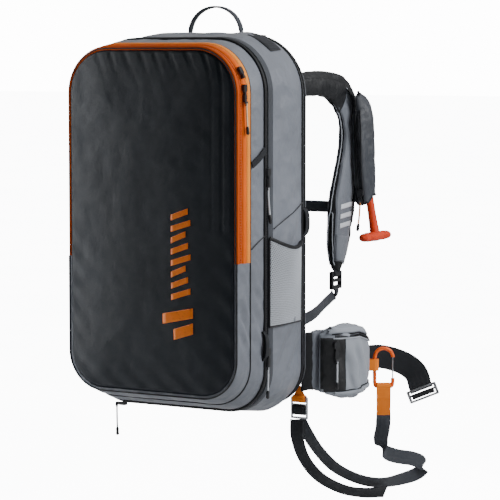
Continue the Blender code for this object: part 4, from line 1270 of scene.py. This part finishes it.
def build_hip_pocket():
    """Puffed cloth box with a zip under its lid, a padded lower lip and a dark inner side."""
    outer = (-1, 0, 0)
    # The pocket's cloth is the side cloth with painted light: its base colour is lighter to offset the
    # pocket's shade.
    pocket = puffed("hip_pocket_cloth", "hip_pocket", LOOK["pocket"], "wing_right", cap=0.006,
                    voxel=0.0045, shrink=0.002)
    for vertex in pocket.data.vertices:
        co = vertex.co
        push = 0.0019 * math.sin((co.y + 0.3 * co.z) / 0.0042 + 2.0 * rumple(co, 0.03, 4.0))
        fade = max(0.0, min(1.0, (-0.172 - co.z) / 0.02)) * max(0.0, min(1.0, (co.x - 0.175) / 0.01))
        vertex.co = co + vertex.normal * push * fade
    tree = tree_of(pocket)
    for number, z in enumerate((-0.1655, -0.1720)):
        spots, _ = drape(pocket_line(0.018, 0.084, z, 30), tree, outer, 0.0008)
        look = "thread_pale" if number else "piping"
        place(tube(f"hip_pocket_zip_edge_{number}", spots, 0.0011, LOOK[look]), "wing_right")
    teeth = drape(pocket_line(0.020, 0.080, -0.1688, 40), tree, outer, 0.0008)
    dotted("hip_pocket_teeth", teeth, TOOTH_PITCH, (0.0011, 0.0038, 0.0012), "teeth", "wing_right",
           "block")
    rows = [pocket_line(0.014, 0.092, z, 30) for z in (-0.1560, -0.1590, -0.1620, -0.1645)]
    lid = laid_strip("hip_pocket_lid", tree, rows, outer, 0.0022, 0.0022, LOOK["pocket"])
    place(lid, "wing_right")
    line = [Vector((0.23, 0.022 + 0.074 * i / 30, -0.2555 + 0.012 * (i / 30) ** 3)) for i in range(31)]
    spots, _ = drape(line, tree, outer, 0.0010)
    place(tube("hip_pocket_lip", spots, 0.0032, LOOK["pocket"]), "wing_right")
    place(tube("hip_pocket_lip_seam", [p + UP * 0.0042 for p in spots], 0.0009, LOOK["piping"]), "wing_right")
    inward = Vector((-0.70, 0.71, 0))
    rows = []
    for k in range(13):
        share = -0.30 + 1.30 * k / 12
        spot = Vector((0.160 + 0.033 * share, 0.0105 + 0.021 * share, 0)) - inward * 0.03
        rows.append([spot + UP * (-0.171 - 0.082 * i / 20) for i in range(21)])
    panel = laid_strip("hip_pocket_dark_side", tree, rows, inward, 0.0008, 0.0010, LOOK["sleeve_dark"])
    place(panel, "wing_right")


# ---------------------------------------------------------------- trigger

SLEEVE_RADII = (0.0045, 0.0100, 0.0140, 0.0155, 0.016, 0.016, 0.016, 0.0155, 0.015, 0.014, 0.0125)


def sleeve_frame(path, i):
    """Middle of the trigger sleeve at a step of its path, its radius and its rearward direction."""
    along = (path[min(i + 1, len(path) - 1)] - path[max(i - 1, 0)]).normalized()
    across = along.cross(Vector((1, 0, 0))).normalized()
    at = i / (len(path) - 1) * (len(SLEEVE_RADII) - 1)
    low = min(int(at), len(SLEEVE_RADII) - 2)
    radius = SLEEVE_RADII[low] + (SLEEVE_RADII[low + 1] - SLEEVE_RADII[low]) * (at - low)
    return path[i] + across * radius * 0.42, radius, across


def sleeve_point(path, i, angle, lift=0.0):
    """Point on the sleeve's cloth, with its lengthwise folds and small creases."""
    centre, radius, across = sleeve_frame(path, i)
    share = i / (len(path) - 1)
    flat = centre + Vector((1, 0, 0)) * radius * math.cos(angle) + across * 1.45 * radius * math.sin(angle)
    out = (flat - centre).normalized()
    fold = 0.0013 * math.sin(5 * angle + 4.0 * share) * min(1.0, share * 2.5)
    crease = 0.0014 * rumple(flat, 0.016, 8.0) + 0.0008 * rumple(flat, 0.007, 9.0)
    drop = -0.012 * max(0.0, (share - 0.8) / 0.2) ** 1.5 * max(0.0, math.sin(angle))
    return flat + out * (fold + crease + lift) + UP * drop


def build_trigger():
    """Sleeve with lengthwise folds, the cloth that joins it to the pad, and the T-handle."""
    path = smooth_points(SLEEVE_PATH, 10)
    count = len(path)
    sides = 56
    rows = [[sleeve_point(path, i, math.tau * k / sides) for k in range(sides)] for i in range(count)]
    bore = 0.0102
    for i in range(count - 1, count - 9, -1):
        _, _, across = sleeve_frame(path, i)
        rows.append([path[i] + (Vector((1, 0, 0)) * math.cos(math.tau * k / sides)
                                + across * math.sin(math.tau * k / sides)) * bore for k in range(sides)])
    sleeve = grid("trigger_sleeve_cloth", rows, LOOK["sleeve"], wrap=True, caps=True)
    place(sleeve, "pack", ("trigger_sleeve",))
    build_sleeve_bridge(path)
    for number, turn in enumerate((math.radians(66), math.radians(96))):
        spots = [sleeve_point(path, i, turn, 0.0010) for i in range(6, count)]
        place(tube(f"sleeve_zip_edge_{number}", spots, 0.0008, LOOK["thread"]), "pack")
    spots = [sleeve_point(path, i, math.radians(81), 0.0007) for i in range(6, count)]
    outs = [(sleeve_point(path, i, math.radians(81), 0.01) - p).normalized() for i, p in
            zip(range(6, count), spots)]
    dotted("sleeve_zip_teeth", (spots, outs), TOOTH_PITCH, (0.0011, 0.0034, 0.0012), "teeth", "pack",
           "block")
    hem = [sleeve_point(path, count - 1, math.tau * k / sides, 0.0002) for k in range(sides)]
    place(tube("sleeve_hem", hem, 0.0013, LOOK["piping"], cyclic=True), "pack")
    build_handle()


def build_sleeve_bridge(path):
    """Dark folded cloth from the middle of the pad's outer face to the sleeve."""
    count = len(path)
    rows = []
    for i in range(count):
        share = i / (count - 1)
        pad = pad_line(0.70 + 0.06 * share, 0.30 + 0.425 * share, 1.0, 1)[0] + Vector((0.0098, 0, 0))
        cloth = sleeve_point(path, i, math.radians(104), 0.0010)
        row = []
        for k in range(13):
            across = k / 12
            point = pad.lerp(cloth, across)
            out = Vector((0.75, -0.66, 0))
            swell = 0.0040 * math.sin(math.pi * across)
            fold = 0.0022 * math.sin(9.0 * across + 5.0 * share) * math.sin(math.pi * across)
            point += out * (swell + fold + 0.0015 * rumple(point, 0.018, 14.0) * math.sin(math.pi * across))
            row.append(point)
        rows.append(row)
    cloth = grid("sleeve_bridge", rows, LOOK["sleeve_dark"])
    place(thicken(cloth, 0.0012), "pack")


def flat_ring(centre, wide, high):
    """Ellipse of 24 points across the handle's bar."""
    turns = [math.tau * k / 24 for k in range(24)]
    return [centre + Vector((wide * math.cos(turn), 0, high * math.sin(turn))) for turn in turns]


def build_handle():
    top = Vector((SLEEVE_X, 0.2125, 0.066))
    foot = Vector((0.1425, 0.2280, -0.031))
    stem = [top.lerp(foot, i / 12) for i in range(13)]
    widths = [0.0045, 0.0060, 0.0062, 0.0062, 0.0063, 0.0063, 0.0064, 0.0064, 0.0066, 0.0068, 0.0072,
              0.0078, 0.0080]
    place(tube("handle_stem", stem, widths, LOOK["handle"], sides=6), "release_handle",
          ("release_handle",))
    rows = []
    for i in range(25):
        share = -1 + 2 * i / 24
        end = math.sqrt(max(0.0, 1 - (max(0.0, abs(share) - 0.86) / 0.145) ** 2))
        high = (0.0068 + 0.0012 * math.exp(-(share / 0.3) ** 2)) * end
        wide = (0.0086 + 0.0010 * math.exp(-(share / 0.3) ** 2)) * end
        centre = foot + Vector((0, share * 0.045, -0.0015))
        rows.append(flat_ring(centre, wide, high))
    bar = grid("handle_bar", rows, LOOK["handle"], wrap=True, caps=True)
    place(bar, "release_handle")
    for number, share in enumerate((-0.62, -0.5, -0.38, 0.38, 0.5, 0.62)):
        centre = foot + Vector((0, share * 0.045, -0.0015))
        spots = flat_ring(centre, 0.0087, 0.0069)
        rib = tube(f"handle_rib_{number}", spots, 0.0006, LOOK["handle"], cyclic=True)
        place(rib, "release_handle")


# ---------------------------------------------------------------- straps, buckles and belt

def mirrored(points, side):
    return [Vector((p[0] * side, p[1], p[2])) for p in points]


def build_straps():
    for side, word in SIDES:
        route = ((PAD_X, 0.1545, -0.1060), (PAD_X, 0.1545, -0.1165), (PAD_X, 0.140, -0.1240),
                 (0.114, 0.110, -0.1310), (0.124, 0.072, -0.1365), (0.131, 0.042, -0.1400),
                 (0.1325, 0.014, -0.1440), (0.1337, -0.0085, -0.1450))
        across = ((0, 1, 0), (0, 0.9, 0.3), (0, 0.6, 0.8), (0, 0.25, 1), (0, 0.1, 1), (0, 0.05, 1), (0, 0, 1),
                  (0, 0, 1))
        strap, _ = webbing(f"shoulder_webbing_{word}", mirrored(route, side), mirrored(across, side), 0.018,
                           LOOK["web_grey"])
        place(strap, "pack", (f"strap_webbing_{word}",))
        route = ((0.1610, 0.1120, -0.2170), (0.1665, 0.1460, -0.2160), (0.1800, 0.1800, -0.2180),
                 (0.2030, 0.2060, -0.2290), (0.2195, 0.2190, -0.2450), (0.2265, 0.2218, -0.2659),
                 (0.2294, 0.2222, -0.2730))
        across = ((0, 0, 1), (0.03, 0.08, 1), (0.12, 0.22, 0.97), (0.42, 0.36, 0.83), (0.68, 0.45, 0.60),
                  (0.800, 0.481, 0.358), (0.800, 0.481, 0.358))
        belt, _ = webbing(f"belt_{word}", mirrored(route, side), mirrored(across, side), 0.037, LOOK["web"],
                          0.0022, 10)
        place(belt, f"wing_{word}", (f"belt_webbing_{word}",))
        build_hip_buckle(side, word)
        build_lock_strap(side, word)
        build_side_tag(side, word)
        build_wing_bridge(side, word)
    build_adjuster_wraps()
    build_sternum()


def build_lock_strap(side, word):
    """Short strap from the pad's end round the ladder lock's top bar."""
    top = 0.1550
    route = ((PAD_X, top + 0.001, -0.0700), (PAD_X, top, -0.0790), (PAD_X + 0.0042, top, -0.0865),
             (PAD_X + 0.0030, top, -0.0905), (PAD_X, top, -0.0925))
    strap, _ = webbing(f"lock_strap_{word}", mirrored(route, side), [(0, 1, 0)] * 5, 0.020, LOOK["web"],
                       0.0016)
    place(strap, "pack")


def build_side_tag(side, word):
    """Folded strap tag sewn into the rear seam."""
    half = section(-0.020)[0]
    spots = ((0.0005, -0.0215, 0.028), (0.0060, -0.0205, 0.020), (0.0070, -0.0200, 0.004),
             (0.0055, -0.0205, -0.008), (0.0005, -0.0215, -0.014))
    route = [(half + proud, y, z) for proud, y, z in spots]
    tag, _ = webbing(f"side_tag_{word}", mirrored(route, side), [(0, 1, 0)] * 5, 0.012, LOOK["web"], 0.0020)
    place(tag, "pack")


def build_adjuster_wraps():
    """Orange webbing round the adjuster's top bar, dark webbing round its middle bars."""
    centre_x = 0.1330
    for name, look, slot, top, bottom in (
            ("adjuster_wrap_orange", "orange_web", "orange_webbing", -0.2585, -0.2690),
            ("adjuster_wrap_dark", "web", "webbing_dark", -0.2725, -0.2880)):
        path = []
        for i in range(16):
            angle = math.tau * i / 16
            path.append(Vector((centre_x, -0.0045 - 0.0046 * math.cos(angle),
                                0.5 * (top + bottom) + 0.5 * (top - bottom) * math.sin(angle))))
        rows = []
        for i, point in enumerate(path):
            out = (point - Vector((centre_x, -0.0045, 0.5 * (top + bottom)))).normalized()
            rows.append([point + Vector((0.0108 * u, 0, 0)) + out * 0.0008 * v for u, v in
                         band_section(0.2, 0.94)])
        place(grid(name, rows, LOOK[look], wrap=True, loop=True), "pack")


def build_wing_bridge(side, word):
    """Cloth that joins a belt fin to the bag."""
    rows = []
    start = Vector((0.1385 * side, -0.0100, 0))
    end = Vector((0.1465 * side, 0.0120, 0))
    for i in range(9):
        share = i / 8
        at = start.lerp(end, share) + Vector((side * 0.004 * math.sin(math.pi * share), 0, 0))
        row = []
        for k in range(21):
            fold = Vector((side * 0.0012 * rumple(at + UP * 0.1 * k, 0.02, 3.0), 0, 0))
            row.append(at + UP * (-0.252 + 0.088 * k / 20 + 0.002 * math.sin(math.pi * share)) + fold)
        rows.append(row)
    sheet = grid(f"fin_bridge_{word}", rows, LOOK["pad_dark"])
    thicken(sheet, 0.0030, 0.0)
    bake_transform(sheet)


def build_sternum():
    """Both halves of the sternum strap."""
    height = 0.018
    start = PAD_X - 0.008
    route = [(x, y, height) for x, y in ((start, 0.148), (0.070, 0.149), (0.030, 0.1495), (0.0195, 0.1495))]
    for side, word in SIDES:
        strap, _ = webbing(f"sternum_webbing_{word}", mirrored(route, side), [(0, 0, 1)] * 4, 0.018,
                           LOOK["web_grey"])
        place(strap, "sternum_right", (f"sternum_strap_{word}",))
    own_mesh(strap)


def build_hip_buckle(side, word):
    """Metal frame with two rounded bars and a dark grip band between them."""
    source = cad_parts[f"hip_buckle_{word}"]
    source.data.materials.clear()
    source.data.materials.append(LOOK["alloy"])
    turn = Euler((math.radians(-8), math.radians(-21) * side, math.radians(31) * side)).to_matrix()
    centre = Vector((0.2310 * side, 0.2225, -0.2770))
    rows = []
    for i in range(13):
        x = 0.0185 * (i / 6 - 1)
        rows.append([centre + turn @ Vector((x, -0.0021 + 0.0012 * v, -0.0012 + 0.0042 * u)) for u, v in
                     ((-1, 0), (-0.8, -1), (0.8, -1), (1, 0), (0.8, 1), (-0.8, 1))])
    place(grid(f"hip_buckle_grip_{word}", rows, LOOK["black"], wrap=True, caps=True), f"hip_buckle_{word}")


def build_carabiner():
    """Bent rod and a gate of wire, in an upright plane 30 degrees off the X axis."""
    along_axis = Vector((math.cos(math.radians(30)), math.sin(math.radians(30)), 0))
    base = Vector((0.2040, 0.1380, 0))
    half = 0.0140
    shape = ((half, -0.2450), (0.0138, -0.2530), (0.0112, -0.2578), (0.0, -0.2580), (-0.0112, -0.2578),
             (-0.0138, -0.2530), (-half, -0.2470), (-half, -0.2130), (-0.0095, -0.2020), (0.0, -0.1985),
             (0.0095, -0.2020), (0.0136, -0.2090), (half, -0.2120))
    points = smooth_points([base + along_axis * a + UP * z for a, z in shape], 6)
    body = tube("carabiner_frame", points, 0.0029, LOOK["alloy_orange"], sides=6)
    place(body, "wing_right", ("carabiner_body",))
    wires = []
    for shift in (-0.0013, 0.0013):
        out = along_axis.cross(UP) * shift
        wires.append([base + along_axis * (half - 0.0002) + out + UP * z
                      for z in (-0.2445, -0.2285, -0.2140)])
    gate = smooth_points([*wires[0], base + along_axis * half + UP * -0.2126, *wires[1][::-1]], 5)
    place(tube("carabiner_wire", gate, 0.0009, LOOK["alloy"]), "carabiner_gate", ("carabiner_gate",))


def dress_nodes():
    """Give the CAD solids that stay in view their own finish."""
    finishes = {
        "alloy": ("leg_adjuster", "frame_stay", "fan_motor"),
        "black": ("fan_housing", "fan_impeller", "capacitor_pack", "control_box", "ladder_lock_right",
                  "ladder_lock_left", "sternum_buckle_housing", "sternum_buckle_prong", "front_slider_lower",
                  "front_slider_upper", "main_slider_upper", "main_slider_lower", "bottom_slider",
                  "hip_pocket_slider", "sleeve_slider", "trigger_cable"),
        "handle": ("power_button",),
        "orange_web": ("leg_sleeve", "belt_loop", "leg_tab"),
        "liner": ("divider_panel",),
        "airbag": ("airbag_folded",),
    }
    for look, names in finishes.items():
        for name in names:
            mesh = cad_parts[name].data
            mesh.materials.clear()
            mesh.materials.append(LOOK[look])


def build_all():
    build_stage()
    build_cords()
    dress_nodes()
    build_front_panel()
    build_front_wall()
    build_gussets()
    build_side_details()
    build_side_pocket()
    build_air_inlet()
    build_haul_loop()
    build_pads()
    build_fins()
    build_hip_pocket()
    build_trigger()
    build_straps()
    build_carabiner()


build_all()
